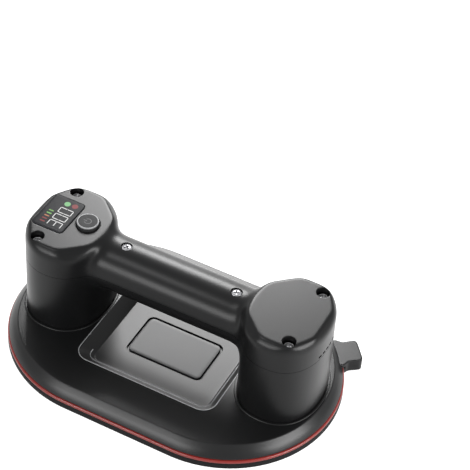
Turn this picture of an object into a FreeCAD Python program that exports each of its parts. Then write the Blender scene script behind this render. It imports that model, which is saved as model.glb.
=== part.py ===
import FreeCAD, Part
import math
import os
from FreeCAD import Vector

# Electric suction lifter for floor tiles, in millimetres.
#
# The origin is the centre of the seal's underside, where the lifter meets the tile.
# +X runs along the lifter to the pump tower, +Y to the side with the release lever, +Z up.
# A tower's own pieces are drawn about its axis: +X is then away from the middle of the lifter.

# ---------------------------------------------------------------------------
# Driving sizes
# ---------------------------------------------------------------------------

# Plate and its sloping rim
PLATE_LENGTH = 277.0
PLATE_WIDTH = 185.0
PLATE_WALL = 2.8
SLOPE_HEIGHT = 9.9
SLOPE_INSET = 7.9
CREASE_RADIUS = 2.4

# Soft seal, red stripe and under plate
SEAL_HEIGHT = 5.2
SEAL_WIDTH = 16.0
SEAL_FLARE = 0.6
SEAL_GROOVE = 3.0
SEAL_GROOVE_DEPTH = 1.2
STRIPE_HEIGHT = 3.1
STRIPE_DEPTH = 2.0
STRIPE_PROUD = 0.35
CHAMBER_DEPTH = 2.4
UNDER_WALL = 1.8
RISER_WALL = 2.4
UNDER_SCREW_EDGE = 8.0
UNDER_SCREW_SEAT = 0.8
UNDER_SCREW_LENGTH = 8.0
UNDER_SCREW_TURNS = (12.0, 72.0)
UNDER_BOSS_RADIUS = 4.0
SEAL_GAP = 0.3
STRIPE_GAP = 0.1
STRIPE_EDGE_RADIUS = 0.9

# Sunk pocket in the deck and its inset panel
POCKET_LENGTH = 119.0
POCKET_WIDTH = 109.4
POCKET_RUN_X = 8.5
POCKET_RUN_Y = 12.2
POCKET_CORNER = 11.0
POCKET_FLOOR_CORNER = 6.0
POCKET_FLOOR = 2.3
POCKET_EDGE_RADIUS = 1.4
PANEL_LENGTH = 64.2
PANEL_WIDTH = 39.6
PANEL_CORNER = 4.0
PANEL_THICKNESS = 1.2
PANEL_GROOVE = 1.7

# Towers
TOWER_SPACING = 189.2
TOWER_HEIGHT = 82.6
TOWER_LENGTH = 66.2
TOWER_WIDTH = 81.8
TOWER_DRAFT = 0.9
OVAL_END_RADIUS = 64.4
OVAL_CORNER_RADIUS = 30.2
TOWER_WALL = 2.8
TOP_OUTER_U = 27.6
TOP_OUTER_V = 16.5
TOP_SIDE_U = 15.5
TOP_SIDE_V = 35.3
TOP_BACK_U = -8.0
TOP_INNER_U = -28.0
TOP_INNER_V = 17.0
TOP_CORNERS = (16.0, 16.0, 12.0, 12.0)
TOP_BEVEL = 5.0
TOP_EDGE_RADIUS = 1.2
COLLAR_WIDTH = 2.0
COLLAR_HEIGHT = 0.9
COLLAR_GAP = 0.2

# Handle
HANDLE_RADIUS = 22.0
HANDLE_DROP = 26.1
HANDLE_WALL = 3.0
HANDLE_FLARE_RADIUS = 7.0
HANDLE_FLARE_ANGLE = 38.0
HANDLE_FLARE_REACH = 2.0
HANDLE_FLARE_TIP = 4.0
HANDLE_BOSS_SKIN = 1.0
PARTING_GROOVE = 0.5

# Screws
SCREW_RADIUS = 1.45
PILOT_GAP = 0.05
HEAD_RADIUS = 3.9
HEAD_HEIGHT = 2.4
HEAD_GAP = 1.3
HEAD_CHAMFER = 0.35
CROSS_LENGTH = 4.4
CROSS_WIDTH = 0.9
CROSS_DEPTH = 1.1
TOP_SCREW_U = 12.9
TOP_SCREW_EDGE = 12.1
TOP_SCREW_SINK = 8.4
TOP_COLUMN_WALL = 1.8
HANDLE_SCREW_SPACING = 94.0
HANDLE_SCREW_SINK = 0.6
HANDLE_SCREW_BOSS = 4.6
DECK_SCREW_U = -13.5
DECK_SCREW_EDGE = 10.4
DECK_COLUMN_RADIUS = 5.5
DECK_COLUMN_HEIGHT = 16.0
DECK_SCREW_LENGTH = 11.0
SMALL_HEAD_RADIUS = 2.8
SMALL_HEAD_HEIGHT = 1.6

# Display, board and button, in the display tower
WINDOW_LENGTH = 27.0
WINDOW_WIDTH = 37.0
WINDOW_CORNER = 3.0
WINDOW_THICKNESS = 1.8
WINDOW_PROUD = 0.5
WINDOW_U = 11.9
WINDOW_LIP = 2.8
MODULE_HEIGHT = 4.0
BOARD_LENGTH = 46.0
BOARD_WIDTH = 40.6
BOARD_THICKNESS = 1.6
BOARD_U = 3.4
BOARD_CORNER = 8.0
BOARD_POST_RADIUS = 2.2
BUTTON_U = -13.8
BUTTON_RADIUS = 8.7
BUTTON_TOP_RADIUS = 7.5
BUTTON_HEIGHT = 4.1
BUTTON_TRAVEL = 1.2
BUTTON_GAP = 0.4
BUTTON_FLANGE = 0.9
BUTTON_WALL = 1.6
BEZEL_WIDTH = 1.1
BEZEL_HEIGHT = 1.5
BEZEL_SINK = 0.3
SWITCH_HEIGHT = 1.2
SPRING_WIRE = 0.25
COIL_STEPS = 12
COIL_SIDES = 6
SOCKET_WIDTH = 9.0
SOCKET_HEIGHT = 3.2
SOCKET_DEPTH = 9.0

# Battery
CELL_RADIUS = 9.2
CELL_LENGTH = 65.0
CELL_PITCH = 19.6
CELL_U = -1.0
TRAY_WALL = 1.2
TRAY_FLOOR = 1.6
TRAY_HEIGHT = 8.0

# Pump and motor, in the pump tower
PUMP_U = -2.0
PUMP_WIDTH = 30.0
CRADLE_HEIGHT = 6.0
CRADLE_WALL = 2.2
HEAD_BLOCK_HEIGHT = 9.0
DIAPHRAGM_THICKNESS = 1.6
DIAPHRAGM_RADIUS = 12.0
PUMP_BODY_HEIGHT = 15.0
PUMP_BODY_WALL = 2.6
MOTOR_RADIUS = 12.2
MOTOR_LENGTH = 26.0
MOTOR_WALL = 0.9
MAGNET_THICKNESS = 2.2
ROTOR_GAP = 0.5
SHAFT_RADIUS = 1.0
SHAFT_GAP = 0.05
BELL_HEIGHT = 4.0
ECCENTRIC_OFFSET = 1.5
INTAKE_U = -8.0
HOSE_RADIUS = 3.4
HOSE_BORE = 2.0
FILTER_RADIUS = 7.0
FILTER_THICKNESS = 0.8
VENT_COUNT = 5
VENT_PITCH = 5.3
VENT_LENGTH = 4.1
VENT_HEIGHT = 1.4
VENT_DROP = 23.3

# Release lever and its valve, on the rim, in the rim's own radial direction
LEVER_ANGLE = 39.5
LEVER_REACH = 16.0
LEVER_TIP_WIDTH = 22.4
LEVER_NECK_WIDTH = 21.4
LEVER_ROOT_WIDTH = 27.6
LEVER_CORNER = 3.4
LEVER_TOP_Z = 11.9
LEVER_GROUND_GAP = 0.5
LEVER_GAP = 0.4
LEVER_SWING = 8.0
LEVER_PIN_INSET = 10.0
LEVER_PIN_RADIUS = 1.25
LEVER_HUB_RADIUS = 2.7
LEVER_HUB_WIDTH = 10.0
LEVER_ARM_WIDTH = 6.0
LEVER_EAR_WIDTH = 3.0
VALVE_INSET = 22.5
VALVE_CUP_RADIUS = 4.2
VALVE_CUP_WALL = 1.2
VALVE_CUP_DEPTH = 3.0
VALVE_STEM_RADIUS = 1.2
VALVE_STEM_GAP = 0.4
VALVE_DISC_RADIUS = 3.0
VALVE_DISC_THICKNESS = 1.2
VALVE_CAP_RADIUS = 2.6
VALVE_CAP_THICKNESS = 0.8
TOUCH_GAP = 0.2

# Wires
WIRE_RADIUS = 0.8
WIRE_SIDES = 8
WIRE_BEND = 6.0
WIRE_Y = 8.0
WIRE_RISE = 11.0
WIRE_CLEARANCE = 4.4

# ---------------------------------------------------------------------------
# Levels and places worked out from them
# ---------------------------------------------------------------------------

RIM_Z = SEAL_HEIGHT + STRIPE_HEIGHT
DECK_Z = RIM_Z + SLOPE_HEIGHT
DECK_UNDER_Z = DECK_Z - PLATE_WALL
UNDER_TOP_Z = CHAMBER_DEPTH + UNDER_WALL
FLOOR_Z = UNDER_TOP_Z + POCKET_FLOOR
TOWER_TOP_Z = DECK_Z + TOWER_HEIGHT
HANDLE_Z = TOWER_TOP_Z - HANDLE_DROP
TOWER_X = TOWER_SPACING / 2
TOWER_HALF_U = TOWER_LENGTH / 2
TOWER_HALF_V = TOWER_WIDTH / 2
END_X = (PLATE_LENGTH - PLATE_WIDTH) / 2
CEILING_Z = TOWER_TOP_Z - TOWER_WALL
TOP_SCREW_V = TOWER_HALF_V - TOP_SCREW_EDGE
TOP_SCREW_TOP_Z = TOWER_TOP_Z - TOP_SCREW_SINK
TOP_SEAT_Z = TOP_SCREW_TOP_Z - HEAD_HEIGHT
TOP_COLUMN_RADIUS = HEAD_RADIUS + HEAD_GAP + TOP_COLUMN_WALL
DECK_SCREW_V = TOWER_HALF_V - DECK_SCREW_EDGE
PILOT_RADIUS = SCREW_RADIUS + PILOT_GAP
HANDLE_SCREW_X = HANDLE_SCREW_SPACING / 2
HANDLE_TOP_Z = HANDLE_Z + HANDLE_RADIUS
WINDOW_BOTTOM_Z = TOWER_TOP_Z + WINDOW_PROUD - WINDOW_THICKNESS
BOARD_TOP_Z = CEILING_Z - MODULE_HEIGHT
BOARD_Z = BOARD_TOP_Z - BOARD_THICKNESS
RIM_RADIUS = PLATE_WIDTH / 2
LEVER_OUT = RIM_RADIUS + LEVER_REACH
LEVER_PIN_R = RIM_RADIUS - LEVER_PIN_INSET
LEVER_PIN_Z = RIM_Z + LEVER_HUB_RADIUS + LEVER_GAP
VALVE_R = RIM_RADIUS - VALVE_INSET
BIG = 600.0


# ---------------------------------------------------------------------------
# Drawing helpers
# ---------------------------------------------------------------------------

def rounded_outline(corners, z):
    """Closed wire of straight sides with an arc at each corner, given as (x, y, radius)."""
    points = [Vector(x, y, z) for x, y, radius in corners]
    arcs = []
    for index, (x, y, radius) in enumerate(corners):
        here = points[index]
        back = (points[index - 1] - here).normalize()
        ahead = (points[(index + 1) % len(points)] - here).normalize()
        half_angle = back.getAngle(ahead) / 2
        inward = (back + ahead).normalize()
        reach = radius / math.tan(half_angle)
        depth = radius / math.sin(half_angle) - radius
        arcs.append((here + back * reach, here + inward * depth, here + ahead * reach))
    edges = []
    for index, (start, middle, end) in enumerate(arcs):
        edges.append(Part.Arc(start, middle, end).toShape())
        following = arcs[(index + 1) % len(arcs)][0]
        if (following - end).Length > 1e-6:
            edges.append(Part.LineSegment(end, following).toShape())
    return Part.Wire(edges)


def rounded_rectangle(half_x, half_y, radius, z, x=0.0, y=0.0):
    """Rounded rectangle centred at x, y."""
    corners = [(x + half_x, y + half_y, radius), (x - half_x, y + half_y, radius),
               (x - half_x, y - half_y, radius), (x + half_x, y - half_y, radius)]
    return rounded_outline(corners, z)


def stadium(inset, z):
    """The plate's outline, moved in by inset: two straight sides and two half circles."""
    radius = RIM_RADIUS - inset
    left, right = -END_X, END_X
    edges = [
        Part.LineSegment(Vector(left, -radius, z), Vector(right, -radius, z)).toShape(),
        Part.Arc(Vector(right, -radius, z), Vector(right + radius, 0, z),
                 Vector(right, radius, z)).toShape(),
        Part.LineSegment(Vector(right, radius, z), Vector(left, radius, z)).toShape(),
        Part.Arc(Vector(left, radius, z), Vector(left - radius, 0, z),
                 Vector(left, -radius, z)).toShape(),
    ]
    return Part.Wire(edges)


def oval(inset, z):
    """A tower's cross-section, moved in by inset, centred on its own axis."""
    end_u = TOWER_HALF_U - OVAL_END_RADIUS
    corner_v = TOWER_HALF_V - OVAL_CORNER_RADIUS
    between = OVAL_END_RADIUS - OVAL_CORNER_RADIUS
    corner_u = end_u + math.sqrt(between ** 2 - corner_v ** 2)
    lean = math.asin(corner_v / between)
    radius = OVAL_END_RADIUS - inset
    corner = OVAL_CORNER_RADIUS - inset
    middle = (lean + math.pi / 2) / 2
    join_u = end_u + radius * math.cos(lean)
    join_v = radius * math.sin(lean)
    middle_u = corner_u + corner * math.cos(middle)
    middle_v = corner_v + corner * math.sin(middle)
    top_v = corner_v + corner
    edges = []
    for side in (1, -1):
        start = Vector(side * join_u, -side * join_v, z)
        nose = Vector(side * (end_u + radius), 0, z)
        seam = Vector(side * join_u, side * join_v, z)
        bend = Vector(side * middle_u, side * middle_v, z)
        top = Vector(side * corner_u, side * top_v, z)
        across = Vector(-side * corner_u, side * top_v, z)
        far_bend = Vector(-side * middle_u, side * middle_v, z)
        end = Vector(-side * join_u, side * join_v, z)
        edges += [Part.Arc(start, nose, seam).toShape(), Part.Arc(seam, bend, top).toShape(),
                  Part.LineSegment(top, across).toShape(),
                  Part.Arc(across, far_bend, end).toShape()]
    return Part.Wire(edges)


def prism(wire, height):
    """Solid that stands on a closed flat wire."""
    return Part.Face(wire).extrude(Vector(0, 0, height))


def loft(*wires):
    """Solid with straight walls between closed wires."""
    return Part.makeLoft(list(wires), True, True)


def cylinder(radius, z_low, z_high, x=0.0, y=0.0):
    """Upright cylinder."""
    return Part.makeCylinder(radius, z_high - z_low, Vector(x, y, z_low))


def block(x_low, x_high, y_low, y_high, z_low, z_high):
    """Plain block between two corners."""
    corner = Vector(x_low, y_low, z_low)
    return Part.makeBox(x_high - x_low, y_high - y_low, z_high - z_low, corner)


def join(shapes):
    """One solid made of touching or overlapping solids, with flush faces merged."""
    shapes = list(shapes)
    return shapes[0].fuse(shapes[1:]).removeSplitter()


def group(shapes):
    """Separate solids kept in one node."""
    return Part.makeCompound(list(shapes))


def pump_side(shape):
    """Moves a piece drawn on a tower's own axis to the pump tower."""
    return shape.translated(Vector(TOWER_X, 0, 0))


def display_side(shape):
    """Turns a piece drawn on a tower's own axis round and moves it to the display tower."""
    return shape.mirror(Vector(0, 0, 0), Vector(1, 0, 0)).translated(Vector(-TOWER_X, 0, 0))


def on_rim(shape):
    """Moves a piece drawn along +X from the end arc's centre to the lever's direction."""
    turned = shape.rotated(Vector(0, 0, 0), Vector(0, 0, 1), LEVER_ANGLE)
    return turned.translated(Vector(END_X, 0, 0))


def screw(x, y, head_top, length, head_radius=HEAD_RADIUS, head_height=HEAD_HEIGHT):
    """Cross-head screw with its head up; length is under the head."""
    head = Part.makeCylinder(head_radius, head_height, Vector(0, 0, -head_height))
    rim = [edge for edge in head.Edges
           if edge.BoundBox.ZLength < 1e-6 and abs(edge.BoundBox.ZMax) < 1e-6]
    head = head.makeChamfer(head_height * HEAD_CHAMFER, rim)
    share = head_radius / HEAD_RADIUS
    reach = CROSS_LENGTH * share / 2
    half = CROSS_WIDTH * share / 2
    slot = block(-reach, reach, -half, half, -CROSS_DEPTH * share, 1)
    cross = slot.fuse(slot.rotated(Vector(0, 0, 0), Vector(0, 0, 1), 90))
    shank = Part.makeCylinder(SCREW_RADIUS, length, Vector(0, 0, -head_height - length))
    return head.cut(cross).fuse(shank).translated(Vector(x, y, head_top))


def upward_screw(x, y, head_low, length, recess=False):
    """Small screw driven upwards, its recess drawn only where it can be seen."""
    if recess:
        drawn = screw(0, 0, 0, length, SMALL_HEAD_RADIUS, SMALL_HEAD_HEIGHT)
        drawn = drawn.mirror(Vector(0, 0, 0), Vector(0, 0, 1))
    else:
        head = Part.makeCylinder(SMALL_HEAD_RADIUS, SMALL_HEAD_HEIGHT)
        shank = Part.makeCylinder(SCREW_RADIUS, SMALL_HEAD_HEIGHT + length)
        drawn = head.fuse(shank)
    return drawn.translated(Vector(x, y, head_low))


def coil(radius, wire, z_low, z_high, turns):
    """Helical spring between two levels, in short straight lengths of six-sided wire."""
    rise = z_high - z_low - 2 * wire
    count = round(turns * COIL_STEPS)
    points = []
    for index in range(count + 1):
        turn = 2 * math.pi * index / COIL_STEPS
        points.append(Vector(radius * math.cos(turn), radius * math.sin(turn),
                             z_low + wire + rise * index / count))
    along = (points[1] - points[0]).normalize()
    up = along.cross(Vector(1, 0, 0)).normalize()
    side = up.cross(along)
    corners = []
    for index in range(COIL_SIDES):
        turn = 2 * math.pi * index / COIL_SIDES
        corners.append(points[0] + side * wire * math.cos(turn) + up * wire * math.sin(turn))
    pipe = Part.BRepOffsetAPI.MakePipeShell(Part.makePolygon(points))
    pipe.setTransitionMode(1)
    pipe.add(Part.makePolygon(corners + [corners[0]]), False, False)
    pipe.build()
    pipe.makeSolid()
    return pipe.shape()


def tube_path(points, bend):
    """Wire of straight runs joined by tangent arcs of one radius."""
    edges = []
    start = points[0]
    for before, here, after in zip(points, points[1:], points[2:]):
        back = (before - here).normalize()
        ahead = (after - here).normalize()
        half_angle = back.getAngle(ahead) / 2
        reach = bend / math.tan(half_angle)
        inward = (back + ahead).normalize()
        middle = here + inward * (bend / math.sin(half_angle) - bend)
        end = here + back * reach
        edges.append(Part.LineSegment(start, end).toShape())
        start = here + ahead * reach
        edges.append(Part.Arc(end, middle, start).toShape())
    edges.append(Part.LineSegment(start, points[-1]).toShape())
    return Part.Wire(edges)


def wire_tube(points, radius, bend):
    """Wire of a few flat sides that starts straight down, along a path."""
    corners = []
    for index in range(WIRE_SIDES):
        turn = 2 * math.pi * index / WIRE_SIDES
        corners.append(points[0] + Vector(radius * math.cos(turn), radius * math.sin(turn), 0))
    section = Part.makePolygon(corners + [corners[0]])
    return tube_path(points, bend).makePipeShell([section], True, False)


# ---------------------------------------------------------------------------
# Plate, seal and under plate
# ---------------------------------------------------------------------------

def slope_inset(z):
    """How far the rim's sloping face lies inside the outline at a level."""
    return SLOPE_INSET * (z - RIM_Z) / SLOPE_HEIGHT


def wall_inset():
    """Level distance through the sloping wall."""
    slant = math.hypot(SLOPE_INSET, SLOPE_HEIGHT)
    return PLATE_WALL * slant / SLOPE_HEIGHT


def under_screw_places():
    """Where the under plate is screwed up to the deck."""
    side = RIM_RADIUS - SEAL_WIDTH - RISER_WALL - UNDER_SCREW_EDGE
    places = [(0, side), (0, -side)]
    for degrees in UNDER_SCREW_TURNS:
        x = END_X + side * math.cos(math.radians(degrees))
        y = side * math.sin(math.radians(degrees))
        places += [(x, y), (-x, y), (x, -y), (-x, -y)]
    return places


def deck_screw_places():
    """Where the towers are screwed to the deck from below, for both towers."""
    outer = [(TOWER_X + TOP_SCREW_U, TOP_SCREW_V), (TOWER_X + DECK_SCREW_U, DECK_SCREW_V)]
    return [(sx * x, sy * y) for x, y in outer for sx in (1, -1) for sy in (1, -1)]


def intake_x():
    """Where the pump's intake passes through the deck."""
    return TOWER_X + PUMP_U + INTAKE_U


def sensor_x():
    """Where the vacuum sensor's port passes through the deck."""
    return -(TOWER_X + CELL_U + CELL_RADIUS + TRAY_WALL + 9.0)


def pocket(extra, z_low, z_high):
    """Sloping solid that fills the sunk pocket, grown all round by extra."""
    depth = DECK_Z - FLOOR_Z

    def section(z):
        share = (DECK_Z - z) / depth
        half_x = POCKET_LENGTH / 2 - POCKET_RUN_X * share
        half_y = POCKET_WIDTH / 2 - POCKET_RUN_Y * share
        corner = POCKET_CORNER + (POCKET_FLOOR_CORNER - POCKET_CORNER) * share
        return rounded_rectangle(half_x + extra, half_y + extra, corner + extra, z)

    return loft(section(z_low), section(z_high))


def lever_slot():
    """Room for the release lever's neck through the rim, with a roof that follows its swing."""
    inner = LEVER_PIN_R + LEVER_HUB_RADIUS
    outer = RIM_RADIUS + 5.0
    low = RIM_Z - 1.0
    roof = LEVER_TOP_Z + LEVER_GAP
    rise = (outer - inner) * math.tan(math.radians(LEVER_SWING + 1.0))
    half = LEVER_ROOT_WIDTH / 2 + LEVER_GAP
    corners = [Vector(inner, -half, low), Vector(outer, -half, low),
               Vector(outer, -half, roof + rise), Vector(inner, -half, roof + 0.5)]
    profile = Part.makePolygon(corners + [corners[0]])
    return on_rim(Part.Face(profile).extrude(Vector(0, 2 * half, 0)))


def lever_ears():
    """Pair of ears under the deck that hold the lever's pin."""
    near = LEVER_HUB_WIDTH / 2 + LEVER_GAP
    low = LEVER_PIN_Z - LEVER_PIN_RADIUS - 1.4
    half = LEVER_PIN_RADIUS + 1.6
    ears = []
    for side in (1, -1):
        first = side * near
        last = side * (near + LEVER_EAR_WIDTH)
        ear = block(LEVER_PIN_R - half, LEVER_PIN_R + half, min(first, last), max(first, last),
                    low, DECK_UNDER_Z + 1.0)
        ears.append(ear)
    bore = Part.makeCylinder(LEVER_PIN_RADIUS + 0.02, 4 * near,
                             Vector(LEVER_PIN_R, -2 * near, LEVER_PIN_Z), Vector(0, 1, 0))
    return on_rim(ears[0].fuse(ears[1]).cut(bore))


def make_base_plate():
    """Moulded plate: sloping rim, deck with a sunk pocket, tower collars and screw bosses."""
    skin = loft(stadium(0, RIM_Z), stadium(SLOPE_INSET, DECK_Z))
    crease = [edge for edge in skin.Edges
              if edge.BoundBox.ZLength < 1e-6 and abs(edge.BoundBox.ZMax - DECK_Z) < 1e-6]
    skin = skin.makeFillet(CREASE_RADIUS, crease)
    hollow_top = slope_inset(DECK_UNDER_Z) + wall_inset()
    hollow = loft(stadium(wall_inset(), RIM_Z), stadium(hollow_top, DECK_UNDER_Z))
    walls = pocket(PLATE_WALL, UNDER_TOP_Z, DECK_Z)
    bosses = [cylinder(UNDER_BOSS_RADIUS, UNDER_TOP_Z, DECK_UNDER_Z + 1.0, x, y)
              for x, y in under_screw_places()]
    collars = []
    for place in (pump_side, display_side):
        ring = loft(oval(-COLLAR_WIDTH - COLLAR_GAP, DECK_Z - 1.0),
                    oval(-COLLAR_WIDTH - COLLAR_GAP, DECK_Z))
        cap = loft(oval(-COLLAR_WIDTH - COLLAR_GAP, DECK_Z),
                   oval(-COLLAR_GAP - 0.6, DECK_Z + COLLAR_HEIGHT))
        collars.append(place(ring.fuse(cap)))
    plate = join([skin.cut(hollow), walls, lever_ears()] + bosses + collars)

    plate = plate.cut(pocket(0.0, FLOOR_Z, DECK_Z + 0.001))
    cuts = [lever_slot()]
    half_x = PANEL_LENGTH / 2 + PANEL_GROOVE
    half_y = PANEL_WIDTH / 2 + PANEL_GROOVE
    corner = PANEL_CORNER + PANEL_GROOVE
    bed = rounded_rectangle(half_x, half_y, corner, FLOOR_Z - PANEL_THICKNESS)
    cuts.append(prism(bed, PANEL_THICKNESS + 0.1))
    for place in (pump_side, display_side):
        cuts.append(place(loft(oval(-COLLAR_GAP, DECK_Z), oval(-COLLAR_GAP, DECK_Z + 5))))
    for x, y in under_screw_places():
        cuts.append(cylinder(PILOT_RADIUS, UNDER_TOP_Z - 1, DECK_UNDER_Z - 1.0, x, y))
    for x, y in deck_screw_places():
        cuts.append(cylinder(PILOT_RADIUS, DECK_UNDER_Z - 1, DECK_Z + 1, x, y))
    cuts.append(cylinder(HOSE_RADIUS + 0.4, DECK_UNDER_Z - 1, DECK_Z + 1, intake_x()))
    cuts.append(cylinder(2.6, DECK_UNDER_Z - 1, DECK_Z + 1, sensor_x()))
    return plate.cut(cuts)


def make_inset_panel():
    """Flat panel let into the floor of the pocket."""
    outline = rounded_rectangle(PANEL_LENGTH / 2, PANEL_WIDTH / 2, PANEL_CORNER,
                                FLOOR_Z - PANEL_THICKNESS)
    return prism(outline, PANEL_THICKNESS)


def make_stripe_ring():
    """Red ring held between the plate's rim and the under plate, showing all round."""
    height = STRIPE_HEIGHT
    ring = prism(stadium(-STRIPE_PROUD, SEAL_HEIGHT), height)
    outer = [edge for edge in ring.Edges if edge.BoundBox.ZLength < 1e-6]
    ring = ring.makeFillet(STRIPE_EDGE_RADIUS, outer)
    return ring.cut(prism(stadium(STRIPE_DEPTH, SEAL_HEIGHT - 1), height + 2))


def make_seal_ring():
    """Soft seal under the rim, its outer wall flaring to the tile, with one groove below."""
    outer = loft(stadium(-SEAL_FLARE, 0), stadium(0, SEAL_HEIGHT))
    middle = SEAL_WIDTH / 2
    groove = prism(stadium(middle - SEAL_GROOVE / 2, 0), SEAL_GROOVE_DEPTH)
    groove = groove.cut(prism(stadium(middle + SEAL_GROOVE / 2, 0), SEAL_GROOVE_DEPTH))
    return outer.cut([prism(stadium(SEAL_WIDTH, -1), SEAL_HEIGHT + 2), groove])


def valve_place():
    """Centre of the release valve, on the lever's own line."""
    turn = math.radians(LEVER_ANGLE)
    return END_X + VALVE_R * math.cos(turn), VALVE_R * math.sin(turn)


def make_under_plate():
    """Dished plate that closes the base, carries the seal and holds the valve's cup."""
    rim = prism(stadium(STRIPE_DEPTH + STRIPE_GAP, SEAL_HEIGHT), STRIPE_HEIGHT)
    riser = prism(stadium(SEAL_WIDTH + SEAL_GAP, CHAMBER_DEPTH), RIM_Z - CHAMBER_DEPTH)
    dish = prism(stadium(SEAL_WIDTH + SEAL_GAP + RISER_WALL, UNDER_TOP_Z), BIG)
    x, y = valve_place()
    cup_top = CHAMBER_DEPTH + VALVE_CUP_DEPTH + VALVE_CUP_WALL
    cup = cylinder(VALVE_CUP_RADIUS + VALVE_CUP_WALL, CHAMBER_DEPTH, cup_top, x, y)
    plate = join([rim.fuse(riser).cut(dish), cup])
    cuts = [cylinder(VALVE_CUP_RADIUS, 0, CHAMBER_DEPTH + VALVE_CUP_DEPTH, x, y),
            cylinder(VALVE_STEM_RADIUS + VALVE_STEM_GAP, 0, cup_top + 1, x, y),
            cylinder(HOSE_BORE, 0, UNDER_TOP_Z + 1, intake_x()),
            cylinder(1.0, 0, UNDER_TOP_Z + 1, sensor_x())]
    for sx, sy in under_screw_places():
        cuts.append(cylinder(PILOT_RADIUS, 0, UNDER_TOP_Z + 1, sx, sy))
        cuts.append(cylinder(SMALL_HEAD_RADIUS + 0.3, 0, CHAMBER_DEPTH + UNDER_SCREW_SEAT,
                             sx, sy))
    return plate.cut(cuts)


def make_under_screws():
    """Screws that hold the under plate up to the deck's bosses."""
    low = CHAMBER_DEPTH + UNDER_SCREW_SEAT - SMALL_HEAD_HEIGHT
    return group(upward_screw(x, y, low, UNDER_SCREW_LENGTH, True)
                 for x, y in under_screw_places())


def make_deck_screws():
    """Screws that hold the towers down, driven up through the deck."""
    low = DECK_UNDER_Z - SMALL_HEAD_HEIGHT
    return group(upward_screw(x, y, low, DECK_SCREW_LENGTH) for x, y in deck_screw_places())


def make_intake_filter():
    """Thin filter disc over the intake, under the dish."""
    return cylinder(FILTER_RADIUS, CHAMBER_DEPTH - FILTER_THICKNESS, CHAMBER_DEPTH, intake_x())


# ---------------------------------------------------------------------------
# Housing: two towers and the handle, parted at the handle's axis
# ---------------------------------------------------------------------------

def top_outline(grow, z):
    """Outline of a tower's flat top: broad bevels towards the handle, rounder outside."""
    half = [(TOP_OUTER_U, TOP_OUTER_V, TOP_CORNERS[0]), (TOP_SIDE_U, TOP_SIDE_V, TOP_CORNERS[1]),
            (TOP_BACK_U, TOP_SIDE_V, TOP_CORNERS[2]), (TOP_INNER_U, TOP_INNER_V, TOP_CORNERS[3])]
    corners = half + [(u, -v, radius) for u, v, radius in half[::-1]]
    outline = rounded_outline(corners, z)
    if grow == 0:
        return outline
    return outline.makeOffset2D(grow)


def make_tower():
    """Solid tower about its own axis: oval below, bevelled to the flat top."""
    body = loft(oval(0, DECK_Z), oval(TOWER_DRAFT, TOWER_TOP_Z))
    run = TOP_BEVEL * 2
    lid = loft(top_outline(run, TOWER_TOP_Z - run), top_outline(0, TOWER_TOP_Z))
    skirt = prism(top_outline(run, DECK_Z), TOWER_TOP_Z - run - DECK_Z)
    tower = body.common(lid.fuse(skirt).removeSplitter())
    rim = [edge for edge in tower.Edges
           if edge.BoundBox.ZLength < 1e-4 and abs(edge.BoundBox.ZMax - TOWER_TOP_Z) < 1e-4]
    return tower.makeFillet(TOP_EDGE_RADIUS, rim)


def make_handle():
    """Solid round handle with a flare where it runs into each tower."""
    turn = math.radians(HANDLE_FLARE_ANGLE)
    radius = HANDLE_FLARE_RADIUS
    wall_x = TOWER_X - TOWER_HALF_U + TOWER_DRAFT
    start = wall_x - radius * math.sin(turn) + HANDLE_FLARE_REACH
    half = turn / 2
    middle = Vector(start + radius * math.sin(half), 0,
                    HANDLE_RADIUS + radius * (1 - math.cos(half)))
    end = Vector(start + radius * math.sin(turn), 0,
                 HANDLE_RADIUS + radius * (1 - math.cos(turn)))
    tip = end + Vector(HANDLE_FLARE_TIP, 0, HANDLE_FLARE_TIP * math.tan(turn))
    edges = [
        Part.LineSegment(Vector(0, 0, 0), Vector(0, 0, HANDLE_RADIUS)).toShape(),
        Part.LineSegment(Vector(0, 0, HANDLE_RADIUS), Vector(start, 0, HANDLE_RADIUS)).toShape(),
        Part.Arc(Vector(start, 0, HANDLE_RADIUS), middle, end).toShape(),
        Part.LineSegment(end, tip).toShape(),
        Part.LineSegment(tip, Vector(tip.x, 0, 0)).toShape(),
        Part.LineSegment(Vector(tip.x, 0, 0), Vector(0, 0, 0)).toShape(),
    ]
    half_handle = Part.Face(Part.Wire(edges)).revolve(Vector(0, 0, 0), Vector(1, 0, 0), 360)
    other = half_handle.mirror(Vector(0, 0, 0), Vector(1, 0, 0))
    return half_handle.fuse(other).removeSplitter().translated(Vector(0, 0, HANDLE_Z))


def tower_hollow():
    """Room inside a tower, open below, drawn in under the bevel."""
    shoulder = TOWER_TOP_Z - TOP_BEVEL * 1.2
    inset = TOWER_WALL + TOWER_DRAFT
    lower = loft(oval(TOWER_WALL, DECK_Z - 1), oval(inset, shoulder))
    upper = loft(oval(inset, shoulder), oval(inset + TOP_BEVEL * 1.1, CEILING_Z))
    return lower.fuse(upper)


def both_towers(shape):
    """The same tower piece on both sides, as two solids."""
    return [pump_side(shape), display_side(shape)]


def make_housing():
    """Hollow shells of towers and handle as one piece, before it is parted."""
    above = block(-BIG, BIG, -BIG, BIG, TOWER_TOP_Z, BIG)
    outer = make_handle().cut(above).fuse(both_towers(make_tower())).removeSplitter()
    channel = Part.makeCylinder(HANDLE_RADIUS - HANDLE_WALL, 2 * TOWER_X,
                                Vector(-TOWER_X, 0, HANDLE_Z), Vector(1, 0, 0))
    return outer.cut([channel] + both_towers(tower_hollow())), outer


def columns(radius, u, v, z_low, z_high):
    """Upright columns at plus and minus v in both towers."""
    posts = []
    for side in (1, -1):
        post = cylinder(radius, z_low, z_high, u, side * v)
        posts += both_towers(post)
    return posts


def handle_bosses(z_low, z_high):
    """Round bosses inside the handle for its two screws."""
    return [cylinder(HANDLE_SCREW_BOSS, z_low, z_high, side * HANDLE_SCREW_X)
            for side in (1, -1)]


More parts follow.
